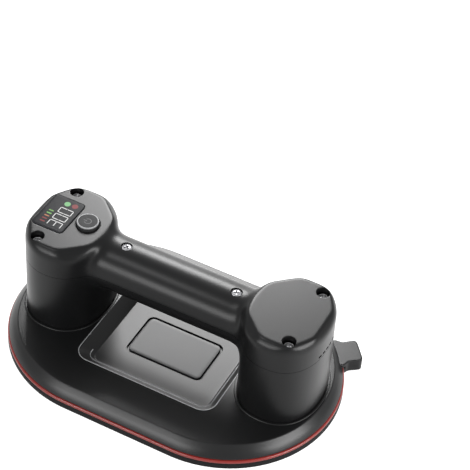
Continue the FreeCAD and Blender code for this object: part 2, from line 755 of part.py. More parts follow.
def lower_part():
    """Everything below the parting plane."""
    return block(-BIG, BIG, -BIG, BIG, -BIG, HANDLE_Z)


def make_lower_housing(shell, outer):
    """Tower walls and the handle's lower half, with screw columns inside."""
    inside = columns(TOP_COLUMN_RADIUS, TOP_SCREW_U, TOP_SCREW_V, DECK_Z, HANDLE_Z)
    inside += columns(DECK_COLUMN_RADIUS, DECK_SCREW_U, DECK_SCREW_V, DECK_Z,
                      DECK_Z + DECK_COLUMN_HEIGHT)
    inside += handle_bosses(HANDLE_Z - HANDLE_RADIUS + HANDLE_BOSS_SKIN, HANDLE_Z)
    held = [post.common(outer) for post in inside]
    housing = join([shell.common(lower_part())] + held)
    cuts = []
    for x, y in deck_screw_places():
        cuts.append(cylinder(PILOT_RADIUS, DECK_Z - 1, DECK_Z + DECK_SCREW_LENGTH, x, y))
    for sx in (1, -1):
        top_x = sx * (TOWER_X + TOP_SCREW_U)
        for sy in (1, -1):
            cuts.append(cylinder(PILOT_RADIUS, HANDLE_Z - 14, HANDLE_Z + 1, top_x,
                                 sy * TOP_SCREW_V))
        cuts.append(cylinder(PILOT_RADIUS, HANDLE_Z - 14, HANDLE_Z + 1, sx * HANDLE_SCREW_X))
    groove = PARTING_GROOVE
    band = block(-BIG, BIG, -BIG, BIG, HANDLE_Z - groove, HANDLE_Z)
    kept = [block(-TOWER_X, TOWER_X, groove - HANDLE_RADIUS, HANDLE_RADIUS - groove,
                  HANDLE_Z - 2 * groove, HANDLE_Z)]
    kept += both_towers(prism(oval(TOWER_DRAFT + groove, HANDLE_Z - 2 * groove), 2 * groove))
    core = kept[0].fuse(kept[1:])
    return housing.cut(cuts).cut(band.cut(core))


def vent_slits():
    """Row of short slits through the pump tower's outer wall."""
    x_low = TOWER_X + TOWER_HALF_U - 8
    z = TOWER_TOP_Z - VENT_DROP
    slits = []
    for index in range(VENT_COUNT):
        y = (index - (VENT_COUNT - 1) / 2) * VENT_PITCH
        slits.append(block(x_low, x_low + 20, y - VENT_LENGTH / 2, y + VENT_LENGTH / 2,
                           z - VENT_HEIGHT / 2, z + VENT_HEIGHT / 2))
    return slits


def board_post_places():
    """The board's four screw posts, about the display tower's axis."""
    return [(BOARD_U + sign * (BOARD_LENGTH / 2 - 5.5), side * (BOARD_WIDTH / 2 - 3.3))
            for sign in (1, -1) for side in (1, -1)]


def make_upper_housing(shell, outer):
    """Tower heads and the handle's upper half, with counterbores, display and button places."""
    inside = columns(TOP_COLUMN_RADIUS, TOP_SCREW_U, TOP_SCREW_V, HANDLE_Z, TOWER_TOP_Z)
    inside += handle_bosses(HANDLE_Z, HANDLE_TOP_Z - HANDLE_BOSS_SKIN)
    inside += [display_side(cylinder(BOARD_POST_RADIUS, BOARD_TOP_Z, CEILING_Z + 1, u, v))
               for u, v in board_post_places()]
    held = [post.common(outer) for post in inside]
    above = block(-BIG, BIG, -BIG, BIG, HANDLE_Z, BIG)
    housing = join([shell.common(above)] + held)
    cuts = vent_slits()
    bore = HEAD_RADIUS + HEAD_GAP
    for sx in (1, -1):
        for sy in (1, -1):
            x = sx * (TOWER_X + TOP_SCREW_U)
            y = sy * TOP_SCREW_V
            cuts.append(cylinder(bore, TOP_SEAT_Z, TOWER_TOP_Z + 1, x, y))
            cuts.append(cylinder(PILOT_RADIUS, HANDLE_Z - 1, TOWER_TOP_Z, x, y))
        seat = HANDLE_TOP_Z - HANDLE_SCREW_SINK - HEAD_HEIGHT
        cuts.append(cylinder(HEAD_RADIUS + 0.5, seat, HANDLE_TOP_Z + 1, sx * HANDLE_SCREW_X))
        cuts.append(cylinder(PILOT_RADIUS, HANDLE_Z - 1, HANDLE_TOP_Z, sx * HANDLE_SCREW_X))
    window = rounded_rectangle(WINDOW_LENGTH / 2 + 0.1, WINDOW_WIDTH / 2 + 0.1,
                               WINDOW_CORNER + 0.1, WINDOW_BOTTOM_Z, WINDOW_U)
    light = rounded_rectangle(WINDOW_LENGTH / 2 - WINDOW_LIP, WINDOW_WIDTH / 2 - WINDOW_LIP - 1.2,
                              1.0, CEILING_Z - 5, WINDOW_U)
    cuts.append(display_side(prism(window, 10)))
    cuts.append(display_side(prism(light, 12)))
    seat_radius = BUTTON_RADIUS + BUTTON_GAP + BEZEL_WIDTH
    bezel_z = TOWER_TOP_Z - BEZEL_SINK - BEZEL_HEIGHT
    cuts.append(display_side(cylinder(seat_radius, bezel_z, TOWER_TOP_Z + 1, BUTTON_U)))
    cuts.append(display_side(cylinder(BUTTON_RADIUS + BUTTON_GAP, CEILING_Z - 5,
                                      TOWER_TOP_Z + 1, BUTTON_U)))
    cuts += [display_side(cylinder(0.85, BOARD_TOP_Z - 1, CEILING_Z - 0.4, u, v))
             for u, v in board_post_places()]
    cuts.append(display_side(socket_body(TOWER_HALF_U - 8, TOWER_HALF_U + 8, 0.15)))
    return housing.cut(cuts)


def make_top_screws():
    """Four deep-set screws through the tower heads."""
    length = TOP_SEAT_Z - HANDLE_Z + 12
    places = [(sx * (TOWER_X + TOP_SCREW_U), sy * TOP_SCREW_V)
              for sx in (1, -1) for sy in (1, -1)]
    return group(screw(x, y, TOP_SCREW_TOP_Z, length) for x, y in places)


def make_handle_screws():
    """Two screws that close the handle."""
    top = HANDLE_TOP_Z - HANDLE_SCREW_SINK
    length = top - HEAD_HEIGHT - HANDLE_Z + 12
    return group(screw(side * HANDLE_SCREW_X, 0, top, length) for side in (1, -1))


# ---------------------------------------------------------------------------
# Display tower: window, board, button, socket, battery, sensor
# ---------------------------------------------------------------------------

def make_display_window():
    """Dark window over the display."""
    outline = rounded_rectangle(WINDOW_LENGTH / 2, WINDOW_WIDTH / 2, WINDOW_CORNER,
                                WINDOW_BOTTOM_Z, WINDOW_U)
    return display_side(prism(outline, WINDOW_THICKNESS))


def make_display_module():
    """Digit and bar display block between the board and the window."""
    half_x = WINDOW_LENGTH / 2 - WINDOW_LIP - 0.4
    half_y = WINDOW_WIDTH / 2 - WINDOW_LIP - 1.6
    return display_side(block(WINDOW_U - half_x, WINDOW_U + half_x, -half_y, half_y,
                              BOARD_TOP_Z, WINDOW_BOTTOM_Z - 0.1))


def make_control_board():
    """Circuit board under the tower's top."""
    outline = rounded_rectangle(BOARD_LENGTH / 2, BOARD_WIDTH / 2, BOARD_CORNER,
                                BOARD_Z, BOARD_U)
    board = prism(outline, BOARD_THICKNESS)
    holes = [cylinder(1.1, BOARD_Z - 1, BOARD_TOP_Z + 1, u, v) for u, v in board_post_places()]
    return display_side(board.cut(holes))


def make_board_screws():
    """Small screws that hold the board to its posts."""
    pieces = []
    for u, v in board_post_places():
        head = cylinder(1.7, BOARD_Z - 1.2, BOARD_Z, u, v)
        pieces.append(display_side(head.fuse(cylinder(0.8, BOARD_Z, BOARD_TOP_Z + 3, u, v))))
    return group(pieces)


def switch_top_z():
    """Top of the switch's plunger."""
    return BOARD_TOP_Z + SWITCH_HEIGHT


def button_bottom_z():
    """Underside of the button cap at rest, with its travel left above the switch."""
    return switch_top_z() + BUTTON_TRAVEL + TOUCH_GAP


def make_button_cap():
    """Round push button: hollow cap with a bevelled crown, a flange that keeps it in, a stem."""
    low = button_bottom_z()
    top = TOWER_TOP_Z + BUTTON_HEIGHT
    drop = (BUTTON_RADIUS - BUTTON_TOP_RADIUS) * 1.1
    body = cylinder(BUTTON_RADIUS, low, top - drop, BUTTON_U)
    crown = Part.makeCone(BUTTON_RADIUS, BUTTON_TOP_RADIUS, drop, Vector(BUTTON_U, 0, top - drop))
    flange = cylinder(BUTTON_RADIUS + BUTTON_FLANGE, low, CEILING_Z - TOUCH_GAP, BUTTON_U)
    room = cylinder(BUTTON_RADIUS - BUTTON_WALL, low - 1, top - BUTTON_WALL, BUTTON_U)
    stem = cylinder(2.2, low, top - BUTTON_WALL, BUTTON_U)
    return display_side(join([join([body, crown, flange]).cut(room), stem]))


def make_button_spring():
    """Coil spring under the button cap, standing on the board round the switch."""
    middle = (BUTTON_RADIUS - BUTTON_WALL + 2.2) / 2 + 0.4
    top = TOWER_TOP_Z + BUTTON_HEIGHT - BUTTON_WALL
    spring = coil(middle, SPRING_WIRE, BOARD_TOP_Z + 0.05, top - 0.05, 4)
    return display_side(spring.translated(Vector(BUTTON_U, 0, 0)))


def make_button_bezel():
    """Ring that frames the button in the tower's top."""
    outer = BUTTON_RADIUS + BUTTON_GAP + BEZEL_WIDTH - 0.05
    low = TOWER_TOP_Z - BEZEL_SINK - BEZEL_HEIGHT
    ring = cylinder(outer, low, low + BEZEL_HEIGHT, BUTTON_U)
    return display_side(ring.cut(cylinder(BUTTON_RADIUS + BUTTON_GAP, low - 1,
                                          TOWER_TOP_Z + 5, BUTTON_U)))


def make_tact_switch():
    """Small push switch on the board under the button."""
    half = 3.0
    body = block(BUTTON_U - half, BUTTON_U + half, -half, half, BOARD_TOP_Z,
                 BOARD_TOP_Z + SWITCH_HEIGHT * 0.7)
    return display_side(body.fuse(cylinder(1.6, BOARD_TOP_Z, switch_top_z(), BUTTON_U)))


def socket_body(u_low, u_high, grow):
    """Flat bar with round sides along the tower's outward axis, grown all round."""
    radius = SOCKET_HEIGHT / 2 + grow
    half = SOCKET_WIDTH / 2 - SOCKET_HEIGHT / 2
    z = BOARD_Z - SOCKET_HEIGHT / 2
    bar = block(u_low, u_high, -half, half, z - radius, z + radius)
    ends = [Part.makeCylinder(radius, u_high - u_low, Vector(u_low, side * half, z),
                              Vector(1, 0, 0)) for side in (1, -1)]
    return bar.fuse(ends).removeSplitter()


def make_charge_socket():
    """Charging socket under the board's outer edge, its mouth in the tower's wall."""
    mouth = TOWER_HALF_U - TOWER_DRAFT - 0.5
    shell = socket_body(mouth - SOCKET_DEPTH, mouth, 0)
    room = socket_body(mouth - SOCKET_DEPTH + 1.0, mouth + 1, -0.35)
    z = BOARD_Z - SOCKET_HEIGHT / 2
    tongue = block(mouth - SOCKET_DEPTH + 0.5, mouth - 1.0, -3.3, 3.3, z - 0.35, z + 0.35)
    return display_side(shell.cut(room).fuse(tongue))


def cell_places():
    """The two cells, about the display tower's axis."""
    return [(CELL_U, side * CELL_PITCH / 2) for side in (1, -1)]


def twin_outline(radius, z):
    """Outline round both cells."""
    half_v = CELL_PITCH / 2 + radius
    return rounded_rectangle(radius, half_v, radius - 0.01, z, CELL_U)


def make_battery_cells():
    """Two round cells standing in the tray."""
    low = DECK_Z + TRAY_FLOOR
    cells = []
    for u, v in cell_places():
        can = cylinder(CELL_RADIUS, low, low + CELL_LENGTH - 1, u, v)
        cells.append(display_side(can.fuse(cylinder(3.2, low, low + CELL_LENGTH, u, v))))
    return group(cells)


def make_battery_tray():
    """Open tray on the deck that holds the cells' lower ends."""
    tray = prism(twin_outline(CELL_RADIUS + TRAY_WALL, DECK_Z), TRAY_HEIGHT)
    room = [cylinder(CELL_RADIUS + 0.1, DECK_Z + TRAY_FLOOR, DECK_Z + TRAY_HEIGHT + 1, u, v)
            for u, v in cell_places()]
    return display_side(tray.cut(room))


def make_battery_cap():
    """Cap that joins the cells' upper ends."""
    top = DECK_Z + TRAY_FLOOR + CELL_LENGTH
    cap = prism(twin_outline(CELL_RADIUS + TRAY_WALL, top - TRAY_HEIGHT + TRAY_FLOOR),
                TRAY_HEIGHT)
    room = [cylinder(CELL_RADIUS + 0.1, 0, top, u, v) for u, v in cell_places()]
    return display_side(cap.cut(room))


def make_pressure_sensor():
    """Vacuum sensor on the deck with its port down to the chamber."""
    x = sensor_x()
    body = cylinder(5.0, DECK_Z, DECK_Z + 6.0, x)
    port = cylinder(2.0, UNDER_TOP_Z, DECK_Z + 1, x)
    return join([body, port]).cut(cylinder(1.0, UNDER_TOP_Z - 1, DECK_Z + 3, x))


# ---------------------------------------------------------------------------
# Pump tower: pump, motor, intake
# ---------------------------------------------------------------------------

def pump_levels():
    """Levels of the pump's stack, from the cradle's floor to the motor's top."""
    head = DECK_Z + CRADLE_HEIGHT
    diaphragm = head + HEAD_BLOCK_HEIGHT
    body = diaphragm + DIAPHRAGM_THICKNESS
    motor = body + PUMP_BODY_HEIGHT
    bell = motor + MOTOR_LENGTH
    return head, diaphragm, body, motor, bell


def pump_outline(grow, z):
    """Square outline of the pump with rounded corners."""
    half = PUMP_WIDTH / 2 + grow
    return rounded_rectangle(half, half, 3.0 + grow, z, PUMP_U)


def pump_screw_places():
    """Corners where long screws hold the pump's stack together."""
    reach = PUMP_WIDTH / 2 - 3.8
    return [(PUMP_U + sx * reach, sy * reach) for sx in (1, -1) for sy in (1, -1)]


def make_pump_cradle():
    """Soft cradle on the deck that carries the pump."""
    head = pump_levels()[0]
    cradle = prism(pump_outline(CRADLE_WALL, DECK_Z), CRADLE_HEIGHT + 3.0)
    room = prism(pump_outline(0.05, head), 10)
    hole = cylinder(HOSE_RADIUS + 0.4, DECK_Z - 1, head + 1, PUMP_U + INTAKE_U)
    return pump_side(cradle.cut([room, hole]))


def make_pump_head():
    """Valve head with the intake nipple below and the outlet nipple at the side."""
    head, diaphragm = pump_levels()[:2]
    body = prism(pump_outline(0, head), HEAD_BLOCK_HEIGHT)
    nipple = cylinder(HOSE_BORE - 0.05, DECK_Z - 1.0, head + 1, PUMP_U + INTAKE_U)
    outlet = Part.makeCylinder(2.2, 7.0, Vector(PUMP_U + PUMP_WIDTH / 2 - 1, 0, head + 5.5),
                               Vector(1, 0, 0))
    bore = Part.makeCylinder(1.2, 9.0, Vector(PUMP_U + PUMP_WIDTH / 2 - 2, 0, head + 5.5),
                             Vector(1, 0, 0))
    cuts = [cylinder(1.1, DECK_Z - 2, diaphragm - 3, PUMP_U + INTAKE_U), bore]
    for u, v in pump_screw_places():
        cuts.append(cylinder(PILOT_RADIUS, head - 1, diaphragm + 1, u, v))
        cuts.append(cylinder(SMALL_HEAD_RADIUS + 0.2, head - 1, head + SMALL_HEAD_HEIGHT, u, v))
    return pump_side(body.fuse([nipple, outlet]).removeSplitter().cut(cuts))


def make_pump_diaphragm():
    """Rubber diaphragm clamped between head and body, with the stud of its rocker."""
    diaphragm = pump_levels()[1]
    return pump_side(cylinder(DIAPHRAGM_RADIUS, diaphragm, diaphragm + DIAPHRAGM_THICKNESS,
                              PUMP_U))


def make_pump_spacer():
    """Frame round the diaphragm, as thick as it is."""
    diaphragm, body = pump_levels()[1:3]
    frame = prism(pump_outline(0, diaphragm), DIAPHRAGM_THICKNESS)
    cuts = [cylinder(DIAPHRAGM_RADIUS + 0.1, diaphragm - 1, body + 1, PUMP_U)]
    cuts += [cylinder(PILOT_RADIUS, diaphragm - 1, body + 1, u, v)
             for u, v in pump_screw_places()]
    return pump_side(frame.cut(cuts))


def eccentric_z():
    """Underside of the eccentric on the motor's shaft."""
    body, motor = pump_levels()[2:4]
    return body + (motor - body) * 0.48


def make_pump_rocker():
    """Rocker that carries the eccentric's stroke to the diaphragm."""
    body = pump_levels()[2]
    top = eccentric_z() - TOUCH_GAP
    plate = cylinder(DIAPHRAGM_RADIUS * 0.7, top - 1.6, top, PUMP_U)
    return pump_side(plate.fuse(cylinder(2.5, body, top, PUMP_U)))


def make_pump_body():
    """Body between diaphragm and motor, hollow for the eccentric and rocker."""
    body, motor = pump_levels()[2:4]
    shell = prism(pump_outline(0, body), PUMP_BODY_HEIGHT)
    room = cylinder(PUMP_WIDTH / 2 - PUMP_BODY_WALL - 1.2, body - 1, motor - PUMP_BODY_WALL,
                    PUMP_U)
    cuts = [room, cylinder(3.0, body, motor + 1, PUMP_U)]
    cuts += [cylinder(PILOT_RADIUS, body - 1, body + 9, u, v) for u, v in pump_screw_places()]
    return pump_side(shell.cut(cuts))


def make_pump_screws():
    """Four long screws up through the pump's stack."""
    head, _, body = pump_levels()[:3]
    length = body - head - SMALL_HEAD_HEIGHT + 8.0
    return pump_side(group(upward_screw(u, v, head, length) for u, v in pump_screw_places()))


def make_motor_can():
    """Steel can of the motor, open at the top."""
    motor, bell = pump_levels()[3:]
    can = cylinder(MOTOR_RADIUS, motor, bell, PUMP_U)
    can = can.cut(cylinder(MOTOR_RADIUS - MOTOR_WALL, motor + MOTOR_WALL, bell + 1, PUMP_U))
    return pump_side(can.cut(cylinder(SHAFT_RADIUS + SHAFT_GAP, motor - 1, bell, PUMP_U)))


def make_motor_magnets():
    """Two curved magnets inside the can."""
    motor, bell = pump_levels()[3:]
    outer = MOTOR_RADIUS - MOTOR_WALL
    low = motor + MOTOR_WALL + 2.5
    high = bell - 4.5
    ring = cylinder(outer, low, high, PUMP_U)
    ring = ring.cut(cylinder(outer - MAGNET_THICKNESS, low - 1, high + 1, PUMP_U))
    gap = block(PUMP_U - 4.5, PUMP_U + 4.5, -BIG, BIG, low - 1, high + 1)
    return pump_side(group(ring.cut(gap).Solids))


def make_motor_rotor():
    """Shaft, three-pole armature, commutator and eccentric, which turn as one."""
    motor, bell = pump_levels()[3:]
    low = motor + MOTOR_WALL + 3.5
    high = bell - 5.5
    radius = MOTOR_RADIUS - MOTOR_WALL - MAGNET_THICKNESS - ROTOR_GAP
    armature = cylinder(radius, low, high, PUMP_U)
    slots = []
    for index in range(3):
        slot = block(radius * 0.45, radius + 1, -1.4, 1.4, low - 1, high + 1)
        slots.append(slot.rotated(Vector(0, 0, 0), Vector(0, 0, 1), 120 * index)
                     .translated(Vector(PUMP_U, 0, 0)))
    armature = armature.cut(slots)
    commutator = cylinder(2.8, high, bell - 1.5, PUMP_U)
    base = eccentric_z()
    shaft = cylinder(SHAFT_RADIUS, base, bell + BELL_HEIGHT - 1.5, PUMP_U)
    eccentric = cylinder(5.0, base, base + 4.0, PUMP_U + ECCENTRIC_OFFSET)
    return pump_side(join([armature, commutator, shaft, eccentric]))


def make_motor_bell():
    """Plastic end of the motor with its upper bearing and two terminals."""
    bell = pump_levels()[4]
    body = cylinder(MOTOR_RADIUS, bell, bell + BELL_HEIGHT, PUMP_U)
    bore = cylinder(SHAFT_RADIUS + SHAFT_GAP, bell - 1, bell + BELL_HEIGHT - 1.2, PUMP_U)
    tabs = []
    for side in (1, -1):
        u = terminal_u()
        tabs.append(block(u, u + 1.0, side * WIRE_Y - 1.2, side * WIRE_Y + 1.2, bell + 1,
                          bell + BELL_HEIGHT + 4.0))
    return pump_side(join([body.cut(bore)] + tabs))


def terminal_u():
    """Face of the motor's terminals, about the pump tower's axis."""
    return PUMP_U - 4.0


def make_check_valve():
    """Non-return valve that stands on the intake in the under plate."""
    x = intake_x()
    top = UNDER_TOP_Z + 4.8
    body = join([cylinder(5.0, UNDER_TOP_Z, top, x), cylinder(HOSE_BORE - 0.05, top - 1, top + 4, x)])
    return body.cut(cylinder(1.1, UNDER_TOP_Z - 1, top + 5, x))


def make_intake_hose():
    """Short soft hose from the non-return valve up to the pump's head."""
    x = intake_x()
    low = UNDER_TOP_Z + 4.8
    head = pump_levels()[0]
    return cylinder(HOSE_RADIUS, low, head, x).cut(cylinder(HOSE_BORE, low - 1, head + 1, x))


# ---------------------------------------------------------------------------
# Release lever and valve, drawn along +X from the end arc's centre
# ---------------------------------------------------------------------------

def lever_outline(x_root, z):
    """Paddle in plan: waisted sides, a slightly bowed end and rounded corners."""
    root = LEVER_ROOT_WIDTH / 2
    neck = LEVER_NECK_WIDTH / 2
    tip = LEVER_TIP_WIDTH / 2
    shoulder = RIM_RADIUS - 1.5
    waist = RIM_RADIUS + LEVER_REACH * 0.25
    corner = LEVER_OUT - LEVER_CORNER
    bow = 0.6
    halves = []
    for side in (1, -1):
        start = Vector(x_root, side * root, z)
        first = Vector(shoulder, side * root, z)
        middle = Vector(waist, side * (neck + 0.1), z)
        last = Vector(corner, side * tip, z)
        end = Vector(LEVER_OUT - bow, side * (tip - LEVER_CORNER), z)
        bulge = LEVER_CORNER * (1 - math.sqrt(0.5))
        round_middle = Vector(LEVER_OUT - bow * 0.8 - bulge, side * (tip - bulge), z)
        halves.append([Part.LineSegment(start, first).toShape(),
                       Part.Arc(first, middle, last).toShape(),
                       Part.Arc(last, round_middle, end).toShape()])
    near, far = halves
    nose = Part.Arc(Vector(LEVER_OUT - bow, tip - LEVER_CORNER, z), Vector(LEVER_OUT, 0, z),
                    Vector(LEVER_OUT - bow, LEVER_CORNER - tip, z)).toShape()
    back = Part.LineSegment(Vector(x_root, -root, z), Vector(x_root, root, z)).toShape()
    return Part.Wire(near + [nose] + far[::-1] + [back])


def nose_bottom_z():
    """Underside of the lever's nose, just above the valve's cap."""
    return valve_cap_top_z() + TOUCH_GAP


def valve_cap_top_z():
    """Top of the valve stem's cap at rest."""
    return CHAMBER_DEPTH + VALVE_CUP_DEPTH + VALVE_CUP_WALL + 4.4


def make_release_lever():
    """Lift lever: paddle outside the rim, neck through it, hub on the pin, arm to the valve."""
    clear = RIM_RADIUS + SEAL_FLARE + LEVER_GAP
    neck_x = LEVER_PIN_R + LEVER_PIN_RADIUS + 1.6 + LEVER_GAP + 0.4
    neck_z = RIM_Z + LEVER_GAP
    plate = prism(lever_outline(neck_x, neck_z), LEVER_TOP_Z - neck_z)
    deep = prism(lever_outline(neck_x, LEVER_GROUND_GAP), LEVER_TOP_Z - LEVER_GROUND_GAP)
    deep = deep.common(block(clear, BIG, -BIG, BIG, -BIG, BIG))
    low = -LEVER_HUB_WIDTH / 2
    high = LEVER_HUB_WIDTH / 2 - 2.6
    hub = Part.makeCylinder(LEVER_HUB_RADIUS, high - low, Vector(LEVER_PIN_R, low, LEVER_PIN_Z),
                            Vector(0, 1, 0))
    link = block(LEVER_PIN_R, neck_x + 1, low, high, neck_z, LEVER_TOP_Z)
    nose_radius = 0.8
    arm_z = nose_bottom_z() + 0.5
    half = LEVER_ARM_WIDTH / 2
    arm = block(VALVE_R - 1.4, LEVER_PIN_R, low, low + LEVER_ARM_WIDTH, arm_z, arm_z + 2.0)
    nose = Part.makeCylinder(nose_radius, LEVER_ARM_WIDTH,
                             Vector(VALVE_R, -half, nose_bottom_z() + nose_radius), Vector(0, 1, 0))
    foot = block(VALVE_R - 1.4, VALVE_R + 1.4, -half, half, arm_z, arm_z + 2.0)
    body = join([plate, deep, link, hub, arm, foot, nose])
    bore = Part.makeCylinder(LEVER_PIN_RADIUS + 0.04, 40, Vector(LEVER_PIN_R, -20, LEVER_PIN_Z),
                             Vector(0, 1, 0))
    return on_rim(body.cut(bore))


def make_lever_pin():
    """Pin through the lever's hub and the two ears."""
    half = LEVER_HUB_WIDTH / 2 + LEVER_GAP + LEVER_EAR_WIDTH
    return on_rim(Part.makeCylinder(LEVER_PIN_RADIUS, 2 * half,
                                    Vector(LEVER_PIN_R, -half, LEVER_PIN_Z), Vector(0, 1, 0)))


def make_lever_spring():
    """Torsion coil on the pin, between the hub and an ear."""
    spring = coil(LEVER_PIN_RADIUS + 0.55, 0.3, 0, 2.2, 2.5)
    spring = spring.rotated(Vector(0, 0, 0), Vector(1, 0, 0), -90)
    low = LEVER_HUB_WIDTH / 2 - 2.3
    return on_rim(spring.translated(Vector(LEVER_PIN_R, low, LEVER_PIN_Z)))


def make_valve_stem():
    """Stem with the valve's disc below and the cap that the lever pushes above."""
    x, y = valve_place()
    ceiling = CHAMBER_DEPTH + VALVE_CUP_DEPTH
    disc_top = ceiling - 0.7
    disc = cylinder(VALVE_DISC_RADIUS, disc_top - VALVE_DISC_THICKNESS, disc_top, x, y)
    top = valve_cap_top_z()
    cap = cylinder(VALVE_CAP_RADIUS, top - VALVE_CAP_THICKNESS, top, x, y)
    return join([cylinder(VALVE_STEM_RADIUS, disc_top - 0.5, top, x, y), disc, cap])


def make_valve_seal():
    """Rubber washer between the valve's disc and its seat."""
    x, y = valve_place()
    ceiling = CHAMBER_DEPTH + VALVE_CUP_DEPTH
    ring = cylinder(VALVE_DISC_RADIUS, ceiling - 0.7, ceiling, x, y)
    return ring.cut(cylinder(VALVE_STEM_RADIUS, 0, ceiling + 1, x, y))


def make_valve_spring():
    """Coil that holds the valve shut, between the cup and the stem's cap."""
    x, y = valve_place()
    low = CHAMBER_DEPTH + VALVE_CUP_DEPTH + VALVE_CUP_WALL
    high = valve_cap_top_z() - VALVE_CAP_THICKNESS
    return coil(VALVE_STEM_RADIUS + 0.75, 0.2, low + 0.05, high - 0.05, 3).translated(Vector(x, y, 0))


# ---------------------------------------------------------------------------
# Wires
# ---------------------------------------------------------------------------

def make_wire_harness():
    """Two wires from the board through the handle to the motor's terminals."""
    board_x = -(TOWER_X + BOARD_U - BOARD_LENGTH / 2 + 3.0)
    run_z = HANDLE_Z - HANDLE_RADIUS + HANDLE_WALL + WIRE_RISE
    turn_x = TOWER_X + PUMP_U - MOTOR_RADIUS - WIRE_CLEARANCE
    tab_z = pump_levels()[4] + BELL_HEIGHT + 2.6
    end_x = TOWER_X + terminal_u()
    wires = []
    for side in (1, -1):
        y = side * WIRE_Y
        points = [Vector(board_x, y, BOARD_Z), Vector(board_x, y, run_z), Vector(turn_x, y, run_z),
                  Vector(turn_x, y, tab_z), Vector(end_x, y, tab_z)]
        wires.append(wire_tube(points, WIRE_RADIUS, WIRE_BEND))
    return group(wires)


# ---------------------------------------------------------------------------
# Build
# ---------------------------------------------------------------------------

def main():
    """Makes every piece and writes one file for each."""
    shell, outer = make_housing()
    pieces = {
        "base_plate": make_base_plate(),
        "inset_panel": make_inset_panel(),
        "stripe_ring": make_stripe_ring(),
        "seal_ring": make_seal_ring(),
        "under_plate": make_under_plate(),
        "under_screws": make_under_screws(),
        "deck_screws": make_deck_screws(),
        "intake_filter": make_intake_filter(),
        "lower_housing": make_lower_housing(shell, outer),
        "upper_housing": make_upper_housing(shell, outer),
        "tower_screws": make_top_screws(),
        "handle_screws": make_handle_screws(),
        "display_window": make_display_window(),
        "display_module": make_display_module(),
        "control_board": make_control_board(),
        "board_screws": make_board_screws(),
        "button_cap": make_button_cap(),
        "button_spring": make_button_spring(),
        "button_bezel": make_button_bezel(),
        "tact_switch": make_tact_switch(),
        "charge_socket": make_charge_socket(),
        "battery_cells": make_battery_cells(),
        "battery_tray": make_battery_tray(),
        "battery_cap": make_battery_cap(),
        "pressure_sensor": make_pressure_sensor(),
        "pump_cradle": make_pump_cradle(),
        "pump_head": make_pump_head(),
        "pump_diaphragm": make_pump_diaphragm(),
        "pump_spacer": make_pump_spacer(),
        "pump_rocker": make_pump_rocker(),
        "pump_body": make_pump_body(),
        "pump_screws": make_pump_screws(),
        "motor_can": make_motor_can(),
        "motor_magnets": make_motor_magnets(),
        "motor_rotor": make_motor_rotor(),
        "motor_bell": make_motor_bell(),
        "check_valve": make_check_valve(),
        "intake_hose": make_intake_hose(),
        "release_lever": make_release_lever(),
        "lever_pin": make_lever_pin(),
        "lever_spring": make_lever_spring(),
        "valve_stem": make_valve_stem(),
        "valve_seal": make_valve_seal(),
        "valve_spring": make_valve_spring(),
        "wire_harness": make_wire_harness(),
    }
    os.makedirs("parts", exist_ok=True)
    for name, shape in pieces.items():
        box = shape.BoundBox
        print(f"{name:16s} solids {len(shape.Solids):2d} volume {shape.Volume:10.1f} "
              f"valid {shape.isValid()} z {box.ZMin:7.2f} {box.ZMax:7.2f}")
        shape.exportStep(f"parts/{name}.step")


main()
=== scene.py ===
"""Dressed model of an electric suction lifter for floor tiles.

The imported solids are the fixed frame. This script gives each of them a finish, puts finely
moulded meshes over the plate, the housing and the controls, adds what is too fine for the
solids, and sets up a plain studio. Lengths in the classes are in millimetres.
"""

import logging
import math
from dataclasses import dataclass, field
from enum import Enum
from typing import Callable, Dict, List, Sequence, Tuple

import bmesh
import bpy
import numpy as np
from mathutils import Matrix, Vector


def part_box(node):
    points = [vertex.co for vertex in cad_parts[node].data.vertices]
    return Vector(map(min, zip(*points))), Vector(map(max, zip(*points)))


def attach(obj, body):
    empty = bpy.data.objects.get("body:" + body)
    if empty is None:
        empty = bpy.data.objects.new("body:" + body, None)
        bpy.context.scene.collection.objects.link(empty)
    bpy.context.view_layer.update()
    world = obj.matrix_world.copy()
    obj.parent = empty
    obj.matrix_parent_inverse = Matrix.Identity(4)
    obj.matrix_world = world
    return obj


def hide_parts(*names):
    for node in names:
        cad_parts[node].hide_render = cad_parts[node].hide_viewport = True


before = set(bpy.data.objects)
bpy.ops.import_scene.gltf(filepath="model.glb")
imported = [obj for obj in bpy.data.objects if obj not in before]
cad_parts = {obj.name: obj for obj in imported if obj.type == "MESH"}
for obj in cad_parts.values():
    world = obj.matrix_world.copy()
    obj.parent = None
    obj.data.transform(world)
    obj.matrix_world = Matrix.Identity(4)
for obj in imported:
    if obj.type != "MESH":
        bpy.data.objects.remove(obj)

# One millimetre in Blender's metres.
MM = 0.001
# Distances in millimetres: one that clears the whole lifter, how far a cutter stands out of
# what it cuts, how far joined pieces run into each other, and the little that keeps two faces
# from lying in one plane.
FAR = 200.0
PAST = 3.0
OVERLAP = 1.0
HAIR = 0.01
# Keeps a divisor from being nothing.
TINY = 1e-9
LOG = logging.getLogger("suction_lifter")

Piece = bpy.types.Object
Socket = bpy.types.NodeSocket
NodeTree = bpy.types.NodeTree
Material = bpy.types.Material
Pair = Tuple[float, float]
Colour = Tuple[float, float, float]
Outline = np.ndarray
Distance = Callable[[np.ndarray, np.ndarray, np.ndarray], np.ndarray]


class Combine(Enum):
    """How one solid changes another."""

    CUT = "DIFFERENCE"
    ADD = "UNION"
    KEEP = "INTERSECT"


class End(Enum):
    """The two towers, by the side of the middle that they stand on."""

    DISPLAY = -1
    PUMP = 1


# ---- Levels read from the frame ----

def low_of(node: str) -> Vector:
    """Lowest corner of a solid, in millimetres."""
    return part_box(node)[0] / MM


def high_of(node: str) -> Vector:
    """Highest corner of a solid, in millimetres."""
    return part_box(node)[1] / MM


def middle_of(node: str) -> Vector:
    """Middle of a solid's box, in millimetres."""
    return (low_of(node) + high_of(node)) / 2


# ---- Mesh tools ----

